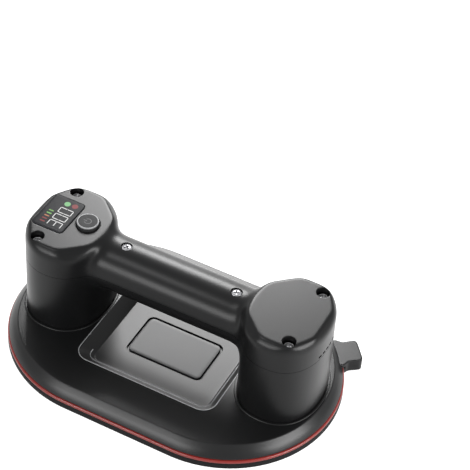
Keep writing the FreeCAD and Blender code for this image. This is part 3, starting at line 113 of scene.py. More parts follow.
def mesh_object(name: str, points: np.ndarray, faces: Sequence[Sequence[int]]) -> Piece:
    """Makes an object from points in millimetres.

    Args:
        name: the object's name.
        points: one row of x, y, z for each point.
        faces: the point numbers of each face, anticlockwise from outside.

    Returns:
        The new object, linked to the scene.
    """
    mesh = bpy.data.meshes.new(name)
    mesh.from_pydata((np.asarray(points, float) * MM).tolist(), [], [list(f) for f in faces])
    obj = bpy.data.objects.new(name, mesh)
    bpy.context.scene.collection.objects.link(obj)
    return obj


def smooth(obj: Piece, sharp_degrees: float = 34.0) -> Piece:
    """Shades a piece smooth, with its sharp edges kept.

    Args:
        obj: the piece.
        sharp_degrees: edges that turn by more than this stay sharp.

    Returns:
        The same piece.
    """
    obj.data.shade_smooth()
    obj.data.set_sharp_from_angle(angle=math.radians(sharp_degrees))
    return obj


def remove(obj: Piece) -> None:
    """Deletes an object and its mesh.

    Args:
        obj: the object.
    """
    mesh = obj.data
    bpy.data.objects.remove(obj)
    bpy.data.meshes.remove(mesh)


def bake_modifiers(obj: Piece) -> None:
    """Applies a piece's modifiers to its mesh.

    Args:
        obj: the piece.
    """
    graph = bpy.context.evaluated_depsgraph_get()
    made = bpy.data.meshes.new_from_object(obj.evaluated_get(graph))
    old = obj.data
    obj.modifiers.clear()
    obj.data = made
    made.name = obj.name
    bpy.data.meshes.remove(old)


def combine(target: Piece, tool: Piece, how: Combine,
            keep_tool: bool = False) -> Piece:
    """Cuts, joins or trims a closed mesh with another.

    Args:
        target: the mesh that changes.
        tool: the other mesh.
        how: what to do.
        keep_tool: whether the other mesh is still needed.

    Returns:
        The changed mesh's object.
    """
    modifier = target.modifiers.new("combine", "BOOLEAN")
    modifier.operation = how.value
    modifier.solver = "MANIFOLD"
    modifier.object = tool
    bake_modifiers(target)
    if not target.data.polygons:
        raise RuntimeError(f"{target.name}: {how.name} with {tool.name} left nothing")
    if not keep_tool:
        remove(tool)
    return target


def ring_solid(name: str, rings: Sequence[np.ndarray]) -> Piece:
    """Closed solid through rings of the same number of points, from low to high.

    Args:
        name: the object's name.
        rings: outlines with their levels, each with the same number of points.

    Returns:
        The new object.
    """
    count = len(rings[0])
    faces: List[Sequence[int]] = [range(count - 1, -1, -1)]
    for level in range(len(rings) - 1):
        low = level * count
        for index in range(count):
            after = (index + 1) % count
            faces.append((low + index, low + after, low + count + after, low + count + index))
    last = (len(rings) - 1) * count
    faces.append(range(last, last + count))
    return mesh_object(name, np.vstack(rings), faces)


def ring_band(name: str, rings: Sequence[np.ndarray]) -> Piece:
    """Closed ring whose section runs through rings, up outside and down inside.

    Args:
        name: the object's name.
        rings: outlines with their levels; the last one joins the first.

    Returns:
        The new object.
    """
    count = len(rings[0])
    total = len(rings)
    faces: List[Sequence[int]] = []
    for level in range(total):
        low = level * count
        high = (level + 1) % total * count
        for index in range(count):
            after = (index + 1) % count
            faces.append((low + index, low + after, high + after, high + index))
    return mesh_object(name, np.vstack(rings), faces)


def rounded_path(corners: Sequence[Tuple[float, float, float]],
                 steps: int = 6) -> List[Pair]:
    """Line through corners with an arc of each corner's own radius.

    Args:
        corners: the two coordinates and the radius of each corner.
        steps: how many lengths each arc has.

    Returns:
        The points of the line.
    """
    points: List[Pair] = []
    count = len(corners)
    for index, (a, b, radius) in enumerate(corners):
        if radius <= 0 or index in (0, count - 1):
            points.append((a, b))
            continue
        here = np.array([a, b])
        back = np.array(corners[index - 1][:2]) - here
        ahead = np.array(corners[index + 1][:2]) - here
        back = back / np.linalg.norm(back)
        ahead = ahead / np.linalg.norm(ahead)
        half = math.acos(max(-1.0, min(1.0, float(back @ ahead)))) / 2
        inward = (back + ahead) / np.linalg.norm(back + ahead)
        centre = here + inward * (radius / math.sin(half))
        first = here + back * (radius / math.tan(half)) - centre
        last = here + ahead * (radius / math.tan(half)) - centre
        sweep = math.atan2(first[0] * last[1] - first[1] * last[0], float(first @ last))
        for step in range(steps + 1):
            turn = sweep * step / steps
            c, s = math.cos(turn), math.sin(turn)
            points.append((float(centre[0] + c * first[0] - s * first[1]),
                           float(centre[1] + s * first[0] + c * first[1])))
    return points


def at_height(outline: Outline, z: float) -> np.ndarray:
    """Puts a flat outline at a level."""
    return np.column_stack([outline, np.full(len(outline), z)])


def rings_along(outline: Callable[[float], Outline], line: Sequence[Pair]) -> List[np.ndarray]:
    """Rings of an outline at each inset or radius and level of a line."""
    return [at_height(outline(inset), z) for inset, z in line]


def circle(radius: float, x: float = 0.0, y: float = 0.0, count: int = 64) -> Outline:
    """Round outline."""
    turn = np.linspace(0, 2 * math.pi, count, endpoint=False)
    return np.column_stack([x + radius * np.cos(turn), y + radius * np.sin(turn)])


def rounded_rectangle(half_x: float, half_y: float, radius: float, x: float = 0.0,
                      y: float = 0.0, steps: int = 10) -> Outline:
    """Rounded rectangle round a centre.

    Args:
        half_x: half its length along x.
        half_y: half its length along y.
        radius: radius of its corners.
        x: place of its centre.
        y: place of its centre.
        steps: how many lengths each corner has.

    Returns:
        Its points, anticlockwise.
    """
    points = []
    for sign_x, sign_y, start in ((1, -1, -90), (1, 1, 0), (-1, 1, 90), (-1, -1, 180)):
        for step in range(steps + 1):
            turn = math.radians(start + 90 * step / steps)
            points.append((x + sign_x * (half_x - radius) + radius * math.cos(turn),
                           y + sign_y * (half_y - radius) + radius * math.sin(turn)))
    return np.array(points)


def widened(size: float, face_z: float, lip: Sequence[Pair]) -> List[Pair]:
    """Line of a cut's rounded lip, from widenings and their levels about the face."""
    return [(size + wide, face_z + rise) for wide, rise in lip]


def inset_rectangle(half: Pair, corner: float, x: float = 0.0,
                    least: float = 0.0) -> Callable[[float], Outline]:
    """Rounded rectangle for any inset, with a least radius at its corners."""
    return lambda inset: rounded_rectangle(half[0] - inset, half[1] - inset,
                                           max(corner - inset, least), x)


def turned_solid(name: str, profile: Sequence[Pair], x: float = 0.0,
                 y: float = 0.0, count: int = 64) -> Piece:
    """Solid of revolution about an upright axis, from a low-to-high line of radius and level."""
    return ring_solid(name, rings_along(lambda r: circle(r, x, y, count), profile))


def box_solid(name: str, low: Sequence[float], high: Sequence[float]) -> Piece:
    """Plain block, used only to cut and trim other pieces.

    Args:
        name: the object's name.
        low: its lowest corner.
        high: its highest corner.

    Returns:
        The new object.
    """
    corners = np.array([(low[0], low[1]), (high[0], low[1]), (high[0], high[1]),
                        (low[0], high[1])], float)
    return ring_solid(name, [at_height(corners, low[2]), at_height(corners, high[2])])


def rounded_bar(name: str, half_y: float, half_z: float, radius: float, x_low: float,
                x_high: float) -> Piece:
    """Bar along X with a rounded rectangular section round the X axis.

    Args:
        name: the object's name.
        half_y: half its width.
        half_z: half its height.
        radius: radius of its long edges.
        x_low: where it starts.
        x_high: where it ends.

    Returns:
        The new object.
    """
    section = rounded_rectangle(half_z, half_y, min(radius, half_z - HAIR, half_y - HAIR),
                                steps=6)
    bar = ring_solid(name, [at_height(section, x_low), at_height(section, x_high)])
    bar.data.transform(Matrix(((0, 0, 1, 0), (0, 1, 0, 0), (-1, 0, 0, 0), (0, 0, 0, 1))))
    return bar


def join_objects(name: str, pieces: Sequence[Piece]) -> Piece:
    """Puts several separate meshes into one object.

    Args:
        name: the new object's name.
        pieces: the meshes, which are then removed.

    Returns:
        The new object.
    """
    merged = bmesh.new()
    for piece in pieces:
        merged.from_mesh(piece.data)
    mesh = bpy.data.meshes.new(name)
    merged.to_mesh(mesh)
    merged.free()
    for piece in pieces:
        remove(piece)
    obj = bpy.data.objects.new(name, mesh)
    bpy.context.scene.collection.objects.link(obj)
    return obj


# Corners of a grid cell, and how far its points are moved onto the surface: the rounds, the
# step for measuring the slope and the longest move, in cells, and the least slope, squared.
CELL_CORNERS = tuple((a, b, c) for a in (0, 1) for b in (0, 1) for c in (0, 1))
SETTLE_ROUNDS = 4
NUDGE_SHARE = 0.05
LONGEST_MOVE_SHARE = 0.5
LEAST_SLOPE_SQUARED = 0.05


def implicit_solid(name: str, distance: Distance, low: Sequence[float], high: Sequence[float],
                   step: float) -> Piece:
    """Closed mesh on the zero surface of a distance formula, one point in each crossed cell.

    Args:
        name: the object's name.
        distance: signed distance, negative inside, for arrays of x, y and z.
        low: lowest corner of the space that holds the whole surface.
        high: highest corner of it.
        step: size of a cell.

    Returns:
        The new object.
    """
    axes = [np.arange(a, b + step, step) for a, b in zip(low, high)]
    value = distance(*np.meshgrid(*axes, indexing="ij"))
    shape = tuple(n - 1 for n in value.shape)
    inside = np.zeros(shape, np.int8)
    for corner in CELL_CORNERS:
        inside += value[tuple(slice(c, c + n) for c, n in zip(corner, shape))] < 0
    cells = np.argwhere((inside > 0) & (inside < len(CELL_CORNERS)))
    number = np.full(shape, -1, np.int64)
    number[tuple(cells.T)] = np.arange(len(cells))
    points = cell_centres(value, cells) * step + np.array([a[0] for a in axes])
    points = settled(points, distance, step)
    return mesh_object(name, points, crossing_faces(value, number).tolist())


def cell_centres(value: np.ndarray, cells: np.ndarray) -> np.ndarray:
    """Mean of the places where the surface crosses each cell's edges.

    Args:
        value: the distance at every grid point.
        cells: the grid place of each cell that the surface crosses.

    Returns:
        One point for each cell, counted in cells.
    """
    total = np.zeros((len(cells), 3))
    crossings = np.zeros(len(cells))
    for first in CELL_CORNERS:
        for axis in range(3):
            if first[axis]:
                continue
            second = tuple(v + (i == axis) for i, v in enumerate(first))
            a = value[tuple((cells + first).T)]
            b = value[tuple((cells + second).T)]
            crossed = (a < 0) != (b < 0)
            share = np.where(crossed, a / np.where(crossed, a - b, 1), 0)
            spot = np.repeat(np.array([first], float), len(cells), axis=0)
            spot[:, axis] += share
            total += spot * crossed[:, None]
            crossings += crossed
    return cells + total / crossings[:, None]


def settled(points: np.ndarray, distance: Distance, step: float) -> np.ndarray:
    """Moves points along the slope of a distance formula until they lie on its surface.

    Args:
        points: the points, near the surface.
        distance: signed distance for arrays of x, y and z.
        step: size of a cell, which limits each move.

    Returns:
        The moved points.
    """
    nudge = step * NUDGE_SHARE
    for _ in range(SETTLE_ROUNDS):
        x, y, z = points.T
        here = distance(x, y, z)
        slope = np.column_stack([
            distance(x + nudge, y, z) - distance(x - nudge, y, z),
            distance(x, y + nudge, z) - distance(x, y - nudge, z),
            distance(x, y, z + nudge) - distance(x, y, z - nudge)]) / (2 * nudge)
        size = np.maximum((slope ** 2).sum(1), LEAST_SLOPE_SQUARED)
        move = -(here / size)[:, None] * slope
        reach = np.linalg.norm(move, axis=1, keepdims=True)
        points = points + move * np.minimum(1.0, step * LONGEST_MOVE_SHARE
                                            / np.maximum(reach, TINY))
    return points


def crossing_faces(value: np.ndarray, number: np.ndarray) -> np.ndarray:
    """One four-sided face round each grid edge that the surface crosses.

    Args:
        value: the distance at every grid point.
        number: the point number of each cell, or -1.

    Returns:
        One row of four point numbers for each face, anticlockwise from outside.
    """
    faces = []
    for axis in range(3):
        left = np.moveaxis(value, axis, 0)[:-1]
        right = np.moveaxis(value, axis, 0)[1:]
        crossed = (left < 0) != (right < 0)
        crossed[:, 0, :] = crossed[:, -1, :] = False
        crossed[:, :, 0] = crossed[:, :, -1] = False
        spots = np.argwhere(crossed)
        leaving = left[tuple(spots.T)] < 0
        moved = np.moveaxis(number, axis, 0)
        quad = np.column_stack([moved[spots[:, 0], spots[:, 1] - a, spots[:, 2] - b]
                                for a, b in ((1, 1), (0, 1), (0, 0), (1, 0))])
        turn_over = ~leaving if axis == 1 else leaving
        quad[~turn_over] = quad[~turn_over][:, ::-1]
        faces.append(quad)
    return np.vstack(faces)


# Width of the blend that rounds a square edge, for each millimetre of its radius.
BLEND_OF_RADIUS = 1.75


def smooth_low(a: np.ndarray, b: np.ndarray, width: float) -> np.ndarray:
    """The lower of two distances, blended where they are close: a fillet."""
    share = np.maximum(width - np.abs(a - b), 0) / width
    return np.minimum(a, b) - share ** 3 * width / 6


def smooth_high(a: np.ndarray, b: np.ndarray, width: float) -> np.ndarray:
    """The higher of two distances, blended where they are close: a rounded edge."""
    return -smooth_low(-a, -b, width)


def eased(x: np.ndarray, low: float, high: float) -> np.ndarray:
    """Share of the way from low to high, with a soft start and end."""
    share = np.clip((x - low) / (high - low), 0, 1)
    return share * share * (3 - 2 * share)


def block_distance(x: np.ndarray, y: np.ndarray, z: np.ndarray, low: Sequence[float],
                   high: Sequence[float]) -> np.ndarray:
    """Distance from a block between two corners."""
    sides = [np.maximum(a - v, v - b) for v, a, b in zip((x, y, z), low, high)]
    return np.maximum.reduce(sides)


# ---- Shader groups ----

class Group:
    """A shader node group with named sockets, built once."""

    def __init__(self, name: str, inputs: Dict[str, float], outputs: Sequence[str]) -> None:
        """Starts a group.

        Args:
            name: the group's name.
            inputs: number inputs with their usual values.
            outputs: number outputs.
        """
        self.tree = bpy.data.node_groups.new(name, "ShaderNodeTree")
        for label, value in inputs.items():
            socket = self.tree.interface.new_socket(label, in_out="INPUT",
                                                    socket_type="NodeSocketFloat")
            socket.default_value = value
        for label in outputs:
            self.tree.interface.new_socket(label, in_out="OUTPUT", socket_type="NodeSocketFloat")
        self.given = self.tree.nodes.new("NodeGroupInput").outputs
        self.result = self.tree.nodes.new("NodeGroupOutput").inputs
        self.place = self.tree.nodes.new("ShaderNodeTexCoord").outputs["Object"]

    def node(self, kind: str, **values: object) -> bpy.types.Node:
        """Adds a node; values are its settings.

        Args:
            kind: the node's type.
            values: its settings by name.

        Returns:
            The node.
        """
        made = self.tree.nodes.new(kind)
        for key, value in values.items():
            setattr(made, key, value)
        return made

    def link(self, source: Socket, target: Socket) -> None:
        """Joins two sockets."""
        self.tree.links.new(source, target)

    def noise(self, scale: Socket, factor: float,
              detail: float) -> Socket:
        """Noise over the object at a multiple of a scale socket.

        Args:
            scale: socket with the scale.
            factor: what the scale is multiplied by.
            detail: how many finer layers it has.

        Returns:
            The noise, from 0 to 1.
        """
        product = self.maths("MULTIPLY", scale, factor)
        made = self.node("ShaderNodeTexNoise")
        made.inputs["Detail"].default_value = detail
        self.link(self.place, made.inputs["Vector"])
        self.link(product, made.inputs["Scale"])
        return made.outputs["Fac"]

    def maths(self, operation: str, first: object, second: object) -> Socket:
        """One sum on sockets or numbers.

        Args:
            operation: what is done with the two values.
            first: a socket or a number.
            second: a socket or a number.

        Returns:
            The socket with the result.
        """
        made = self.node("ShaderNodeMath", operation=operation)
        for socket, value in zip(made.inputs, (first, second)):
            if isinstance(value, Socket):
                self.link(value, socket)
            else:
                socket.default_value = value
        return made.outputs[0]

    def ramp(self, value: Socket, low: float, high: float) -> Socket:
        """Stretches values between two limits to the range from 0 to 1.

        Args:
            value: socket with the value.
            low: what becomes 0.
            high: what becomes 1.

        Returns:
            The socket with the result.
        """
        made = self.node("ShaderNodeMapRange", interpolation_type="SMOOTHSTEP")
        made.inputs["From Min"].default_value = low
        made.inputs["From Max"].default_value = high
        self.link(value, made.inputs["Value"])
        return made.outputs["Result"]


def moulded_grain_group() -> NodeTree:
    """Fine spark-eroded grain of moulded plastic, with slow changes in gloss and tone.

    Returns:
        The group, which puts out a height, a tone and a gloss.
    """
    group = Group("moulded_grain", {"Scale": 1500.0, "Tone": 0.08, "Gloss": 0.06},
                  ("Height", "Tone", "Gloss"))
    fine = group.noise(group.given["Scale"], factor=1.0, detail=2.0)
    coarse = group.noise(group.given["Scale"], factor=0.37, detail=1.0)
    slow = group.noise(group.given["Scale"], factor=0.012, detail=2.0)
    fine_share, coarse_share = 0.65, 0.35
    group.link(group.maths("ADD", group.maths("MULTIPLY", fine, fine_share),
                           group.maths("MULTIPLY", coarse, coarse_share)),
               group.result["Height"])
    centred = group.maths("SUBTRACT", slow, 0.5)
    group.link(group.maths("MULTIPLY", centred, group.given["Tone"]), group.result["Tone"])
    group.link(group.maths("MULTIPLY", centred, group.given["Gloss"]), group.result["Gloss"])
    return group.tree


def edge_rub_group() -> NodeTree:
    """Mask of handled outer edges, broken up so that it isn't an even line.

    Returns:
        The group, which puts out a mask.
    """
    group = Group("edge_rub", {"Start": 0.53, "Full": 0.62, "Scale": 220.0}, ("Mask",))
    geometry = group.node("ShaderNodeNewGeometry")
    span = group.node("ShaderNodeMapRange", interpolation_type="SMOOTHSTEP")
    group.link(geometry.outputs["Pointiness"], span.inputs["Value"])
    group.link(group.given["Start"], span.inputs["From Min"])
    group.link(group.given["Full"], span.inputs["From Max"])
    broken = group.ramp(group.noise(group.given["Scale"], factor=1.0, detail=3.0),
                        low=0.35, high=0.65)
    group.link(group.maths("MULTIPLY", span.outputs["Result"], broken), group.result["Mask"])
    return group.tree


def brushed_lines_group() -> NodeTree:
    """Fine turning or brushing lines round an upright axis, for metal.

    Returns:
        The group, which puts out a height and a gloss.
    """
    group = Group("turning_lines", {"Scale": 900.0}, ("Height", "Gloss"))
    wave = group.node("ShaderNodeTexWave", wave_type="RINGS", rings_direction="Z")
    wave.inputs["Distortion"].default_value = 3.0
    wave.inputs["Detail"].default_value = 2.0
    group.link(group.place, wave.inputs["Vector"])
    group.link(group.given["Scale"], wave.inputs["Scale"])
    group.link(wave.outputs["Fac"], group.result["Height"])
    patch = group.noise(group.given["Scale"], factor=0.4, detail=3.0)
    gloss_change = 0.25
    group.link(group.maths("MULTIPLY", group.maths("SUBTRACT", patch, 0.5), gloss_change),
               group.result["Gloss"])
    return group.tree


def fibre_group() -> NodeTree:
    """Matted fibres of felt.

    Returns:
        The group, which puts out a height and a tone.
    """
    group = Group("felt_fibre", {"Scale": 1200.0}, ("Height", "Tone"))
    cells = group.node("ShaderNodeTexVoronoi", feature="DISTANCE_TO_EDGE")
    group.link(group.place, cells.inputs["Vector"])
    group.link(group.given["Scale"], cells.inputs["Scale"])
    group.link(cells.outputs["Distance"], group.result["Height"])
    group.link(group.noise(group.given["Scale"], factor=0.5, detail=4.0),
               group.result["Tone"])
    return group.tree


GRAIN = moulded_grain_group()
RUB = edge_rub_group()
LINES = brushed_lines_group()
FIBRE = fibre_group()

# Socket numbers of a Mix node that mixes colours.
MIX_FACTOR, MIX_FIRST, MIX_SECOND, MIX_COLOUR = 0, 6, 7, 2


class Recipe:
    """A material being put together round one Principled shader."""

    def __init__(self, name: str) -> None:
        """Starts a material of that name.

        Args:
            name: the material's name.
        """
        self.material = bpy.data.materials.new(name)
        self.material.use_nodes = True
        self.nodes = self.material.node_tree.nodes
        self.shader = self.nodes["Principled BSDF"]

    def set(self, **values: object) -> None:
        """Sets plain values on the shader's own sockets; underscores stand for spaces."""
        for key, value in values.items():
            self.shader.inputs[key.replace("_", " ")].default_value = value

    def link(self, source: Socket, target: Socket) -> None:
        """Joins two sockets."""
        self.material.node_tree.links.new(source, target)

    def surface(self, colour: Socket, gloss: Socket,
                roughness: float) -> None:
        """Feeds the shader a colour, and a roughness that an offset changes.

        Args:
            colour: socket with the colour.
            gloss: socket with the offset.
            roughness: the roughness without it.
        """
        self.link(colour, self.shader.inputs["Base Color"])
        self.link(self.shifted(gloss, roughness), self.shader.inputs["Roughness"])

    def group(self, tree: NodeTree, **values: float) -> bpy.types.Node:
        """Places a shader group with its own values.

        Args:
            tree: the group.
            values: its numbers by name.

        Returns:
            The node that holds the group.
        """
        made = self.nodes.new("ShaderNodeGroup")
        made.node_tree = tree
        for key, value in values.items():
            made.inputs[key].default_value = value
        return made

    def shifted(self, offset: Socket, base: float,
                clamp: bool = True) -> Socket:
        """A number plus an offset that changes over the surface.

        Args:
            offset: socket with the offset.
            base: the number.
            clamp: whether the result is held between 0 and 1.

        Returns:
            The socket with the result.
        """
        made = self.nodes.new("ShaderNodeMath")
        made.use_clamp = clamp
        made.inputs[1].default_value = base
        self.link(offset, made.inputs[0])
        return made.outputs[0]

    def mixed(self, mask: Socket, first: object,
              second: Colour) -> Socket:
        """A colour that turns into a second one where the mask is 1.

        Args:
            mask: socket with the mask.
            first: a colour, or a socket with one.
            second: the other colour.

        Returns:
            The socket with the mixed colour.
        """
        made = self.nodes.new("ShaderNodeMix")
        made.data_type = "RGBA"
        if isinstance(first, Socket):
            self.link(first, made.inputs[MIX_FIRST])
        else:
            made.inputs[MIX_FIRST].default_value = (*first, 1.0)
        made.inputs[MIX_SECOND].default_value = (*second, 1.0)
        self.link(mask, made.inputs[MIX_FACTOR])
        return made.outputs[MIX_COLOUR]

    def toned(self, colour: Colour, tone: Socket) -> Socket:
        """A colour made a little lighter or darker by an offset.

        Args:
            colour: the colour.
            tone: socket with the offset.

        Returns:
            The socket with the changed colour.
        """
        made = self.nodes.new("ShaderNodeHueSaturation")
        made.inputs["Color"].default_value = (*colour, 1.0)
        self.link(self.shifted(tone, 1.0, clamp=False), made.inputs["Value"])
        return made.outputs["Color"]

    def bump(self, height: Socket, metres: float) -> None:
        """Raises the surface by a height pattern of a given depth.

        Args:
            height: socket with the pattern.
            metres: how deep it is.
        """
        made = self.nodes.new("ShaderNodeBump")
        made.inputs["Distance"].default_value = metres
        made.inputs["Strength"].default_value = 1.0
        self.link(height, made.inputs["Height"])
        self.link(made.outputs["Normal"], self.shader.inputs["Normal"])


# ---- Finishes ----

@dataclass(frozen=True)
class MouldedPlastic:
    """Injection-moulded plastic with a fine grain and slightly rubbed edges."""

    name: str
    colour: Colour
    roughness: float = 0.42
    grain_scale: float = 1500.0
    grain_depth: float = 0.000012
    tone: float = 0.10
    gloss: float = 0.05
    rub: float = 1.6
    specular: float = 0.2

    def build(self) -> Material:
        """Makes the material.

        Returns:
            The material.
        """
        recipe = Recipe(self.name)
        recipe.set(Metallic=0.0, Specular_IOR_Level=self.specular)
        grain = recipe.group(GRAIN, Scale=self.grain_scale, Tone=self.tone, Gloss=self.gloss)
        rub = recipe.group(RUB)
        body = recipe.toned(self.colour, grain.outputs["Tone"])
        worn = tuple(min(1.0, c * self.rub) for c in self.colour)
        colour = recipe.mixed(rub.outputs["Mask"], body, worn)
        recipe.surface(colour, grain.outputs["Gloss"], self.roughness)
        recipe.bump(grain.outputs["Height"], self.grain_depth)
        return recipe.material


@dataclass(frozen=True)
class SoftRubber:
    """Matt rubber with a faint bloom."""

    name: str
    colour: Colour
    roughness: float = 0.72
    bloom: Colour = (0.06, 0.06, 0.062)
    specular: float = 0.35
    bloom_share: float = 0.08
    grain_depth: float = 0.00002

    def build(self) -> Material:
        """Makes the material.

        Returns:
            The material.
        """
        recipe = Recipe(self.name)
        recipe.set(Metallic=0.0, Specular_IOR_Level=self.specular)
        grain = recipe.group(GRAIN, Scale=700.0, Tone=0.9, Gloss=0.12)
        bloom = recipe.shifted(grain.outputs["Tone"], self.bloom_share)
        colour = recipe.mixed(bloom, self.colour, self.bloom)
        recipe.surface(colour, grain.outputs["Gloss"], self.roughness)
        recipe.bump(grain.outputs["Height"], self.grain_depth)
        return recipe.material


@dataclass(frozen=True)
class WorkedMetal:
    """Plated, turned or ground metal."""

    name: str
    colour: Colour
    roughness: float = 0.28
    line_scale: float = 900.0
    line_depth: float = 0.000003
    metallic: float = 1.0

    def build(self) -> Material:
        """Makes the material.

        Returns:
            The material.
        """
        recipe = Recipe(self.name)
        recipe.set(Metallic=self.metallic)
        lines = recipe.group(LINES, Scale=self.line_scale)
        grain = recipe.group(GRAIN, Scale=500.0, Tone=0.25, Gloss=0.1)
        colour = recipe.toned(self.colour, grain.outputs["Tone"])
        recipe.surface(colour, lines.outputs["Gloss"], self.roughness)
        recipe.bump(lines.outputs["Height"], self.line_depth)
        return recipe.material


@dataclass(frozen=True)
class GlossLens:
    """Polished dark window with faint fine scratches."""

    name: str
    colour: Colour
    roughness: float = 0.16
    specular: float = 0.02

    def build(self) -> Material:
        """Makes the material.

        Returns:
            The material.
        """
        recipe = Recipe(self.name)
        recipe.set(Metallic=0.0, Specular_IOR_Level=self.specular)
        grain = recipe.group(GRAIN, Scale=2600.0, Tone=0.2, Gloss=0.05)
        colour = recipe.toned(self.colour, grain.outputs["Tone"])
        recipe.surface(colour, grain.outputs["Gloss"], self.roughness)
        return recipe.material


@dataclass(frozen=True)
class LitMark:
    """Lit segment, bar or lamp of the display."""

    name: str
    colour: Colour
    glow: float = 0.8
    body: float = 0.15

    def build(self) -> Material:
        """Makes the material.

        Returns:
            The material.
        """
        recipe = Recipe(self.name)
        grain = recipe.group(GRAIN, Scale=900.0, Tone=0.15, Gloss=0.05)
        shade = tuple(c * self.body for c in self.colour)
        recipe.link(recipe.toned(shade, grain.outputs["Tone"]), recipe.shader.inputs["Base Color"])
        recipe.set(Roughness=0.35, Specular_IOR_Level=0.06, Emission_Strength=self.glow,
                   Emission_Color=(*self.colour, 1.0))
        return recipe.material


@dataclass(frozen=True)
class Felt:
    """Filter felt with paler fibres on top."""

    name: str
    colour: Colour
    paler: float = 1.4
    fibre_depth: float = 0.00015

    def build(self) -> Material:
        """Makes the material.

        Returns:
            The material.
        """
        recipe = Recipe(self.name)
        recipe.set(Roughness=0.95, Specular_IOR_Level=0.1, Sheen_Weight=0.3)
        fibre = recipe.group(FIBRE)
        pale = tuple(min(1.0, c * self.paler) for c in self.colour)
        recipe.link(recipe.mixed(fibre.outputs["Tone"], self.colour, pale),
                    recipe.shader.inputs["Base Color"])
        recipe.bump(fibre.outputs["Height"], self.fibre_depth)
        return recipe.material


class Finishes:
    """Every finish of the lifter, built once and looked up by name."""

    def __init__(self) -> None:
        """Builds the materials."""
        recipes = (
            MouldedPlastic("housing_black", (0.0040, 0.0041, 0.0043), 0.31, specular=0.165),
            MouldedPlastic("plate_black", (0.0044, 0.0045, 0.0047), 0.33, specular=0.235),
            # Pale lines round the pocket's lip and foot: their colour is a painted highlight, not
            # a polish.
            MouldedPlastic("painted_highlight", (0.22, 0.225, 0.23), 0.34, specular=0.3),
            MouldedPlastic("panel_black", (0.0080, 0.0083, 0.0089), 0.31, specular=0.17),
            MouldedPlastic("lever_black", (0.0046, 0.0047, 0.0049), 0.32),
            MouldedPlastic("button_dark", (0.017, 0.0174, 0.018), 0.60, specular=0.15),
            # Light grey of the button's rim ring: a painted highlight standing in for the bevel's
            # reflection.
            MouldedPlastic("button_rim_highlight", (0.22, 0.223, 0.227), 0.36, rub=1.1),
            MouldedPlastic("button_mark", (0.085, 0.087, 0.09), 0.45, rub=1.1),
            MouldedPlastic("bezel_black", (0.005, 0.005, 0.0055), 0.34, specular=0.2),
            MouldedPlastic("under_black", (0.020, 0.020, 0.021), 0.50),
            MouldedPlastic("stripe_red", (0.17, 0.013, 0.010), 0.28, rub=1.15, specular=0.4),
            SoftRubber("seal_rubber", (0.0035, 0.0035, 0.0037), 0.6, (0.010, 0.010, 0.0105), 0.12),
            SoftRubber("soft_rubber", (0.030, 0.030, 0.032)),
            SoftRubber("hose_silicone", (0.60, 0.60, 0.57), 0.55, (0.75, 0.75, 0.72)),
            WorkedMetal("screw_zinc", (0.27, 0.27, 0.28), 0.38),
            WorkedMetal("screw_black", (0.55, 0.55, 0.56), 0.36),
            WorkedMetal("spring_steel", (0.62, 0.62, 0.63), 0.25),
            WorkedMetal("socket_steel", (0.72, 0.72, 0.73), 0.22),
            WorkedMetal("motor_steel", (0.66, 0.66, 0.67), 0.30),
            WorkedMetal("rotor_steel", (0.42, 0.40, 0.38), 0.38),
            WorkedMetal("magnet_dark", (0.10, 0.10, 0.11), 0.45, metallic=0.6),
            WorkedMetal("stem_brass", (0.78, 0.58, 0.26), 0.26),
            GlossLens("window_gloss", (0.020, 0.0205, 0.022)),
            LitMark("mark_white", (1.0, 1.0, 1.0), 0.62),
            LitMark("mark_green", (0.20, 0.50, 0.13), 0.75),
            LitMark("mark_pale", (0.20, 0.42, 0.12), 0.75),
            LitMark("mark_peach", (0.50, 0.20, 0.10), 0.70),
            LitMark("mark_red", (0.30, 0.045, 0.045), 0.55),
            LitMark("lamp_green", (0.24, 0.55, 0.25), 0.70),
            LitMark("lamp_red", (0.36, 0.07, 0.075), 0.42),
            Felt("filter_felt", (0.50, 0.51, 0.50)),
            MouldedPlastic("module_white", (0.72, 0.72, 0.70), 0.5, rub=1.0),
            MouldedPlastic("board_green", (0.015, 0.13, 0.055), 0.32, grain_scale=500.0, rub=1.1),
            MouldedPlastic("cell_wrap", (0.03, 0.19, 0.42), 0.30, rub=1.1),
            MouldedPlastic("tray_plastic", (0.06, 0.06, 0.065), 0.55),
            MouldedPlastic("sensor_plastic", (0.08, 0.08, 0.09), 0.45),
            MouldedPlastic("pump_plastic", (0.62, 0.62, 0.60), 0.5, rub=1.0),
            MouldedPlastic("bell_plastic", (0.74, 0.73, 0.69), 0.5, rub=1.0),
            MouldedPlastic("valve_plastic", (0.62, 0.075, 0.06), 0.4, rub=1.1),
            MouldedPlastic("wire_sleeve", (0.46, 0.025, 0.025), 0.35, rub=1.1),
        )
        self.made = {recipe.name: recipe.build() for recipe in recipes}

    def put(self, obj: Piece, name: str) -> None:
        """Gives a piece one finish all over."""
        obj.data.materials.clear()
        obj.data.materials.append(self.made[name])

    def dress_node(self, node: str, name: str) -> None:
        """Gives a carried-over solid its finish, in each of its material slots.

        Args:
            node: the solid's node.
            name: the name of its finish.
        """
        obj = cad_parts[node]
        if not obj.material_slots:
            obj.data.materials.append(self.made[name])
        for slot in obj.material_slots:
            slot.material = self.made[name]


def present(finishes: Finishes, piece: Piece, body: str, finish: str,
            *nodes: str) -> Piece:
    """Dresses a finished piece, hangs it on its body and reports it.

    Args:
        finishes: the finishes.
        piece: the piece.
        body: the body that it moves with.
        finish: the name of its finish.
        nodes: the solids that it stands for, which are hidden.

    Returns:
        The piece.
    """
    finishes.put(piece, finish)
    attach(piece, body)
    if nodes:
        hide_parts(*nodes)
    LOG.info("%s: %d faces, %s", piece.name, len(piece.data.polygons), finish)
    return piece


# ---- Outlines of the plate and the towers ----

RIM_Z = high_of("stripe_ring").z
SEAL_TOP_Z = high_of("seal_ring").z
DECK_Z = low_of("lower_housing").z
FLOOR_Z = high_of("inset_panel").z
PARTING_Z = low_of("upper_housing").z


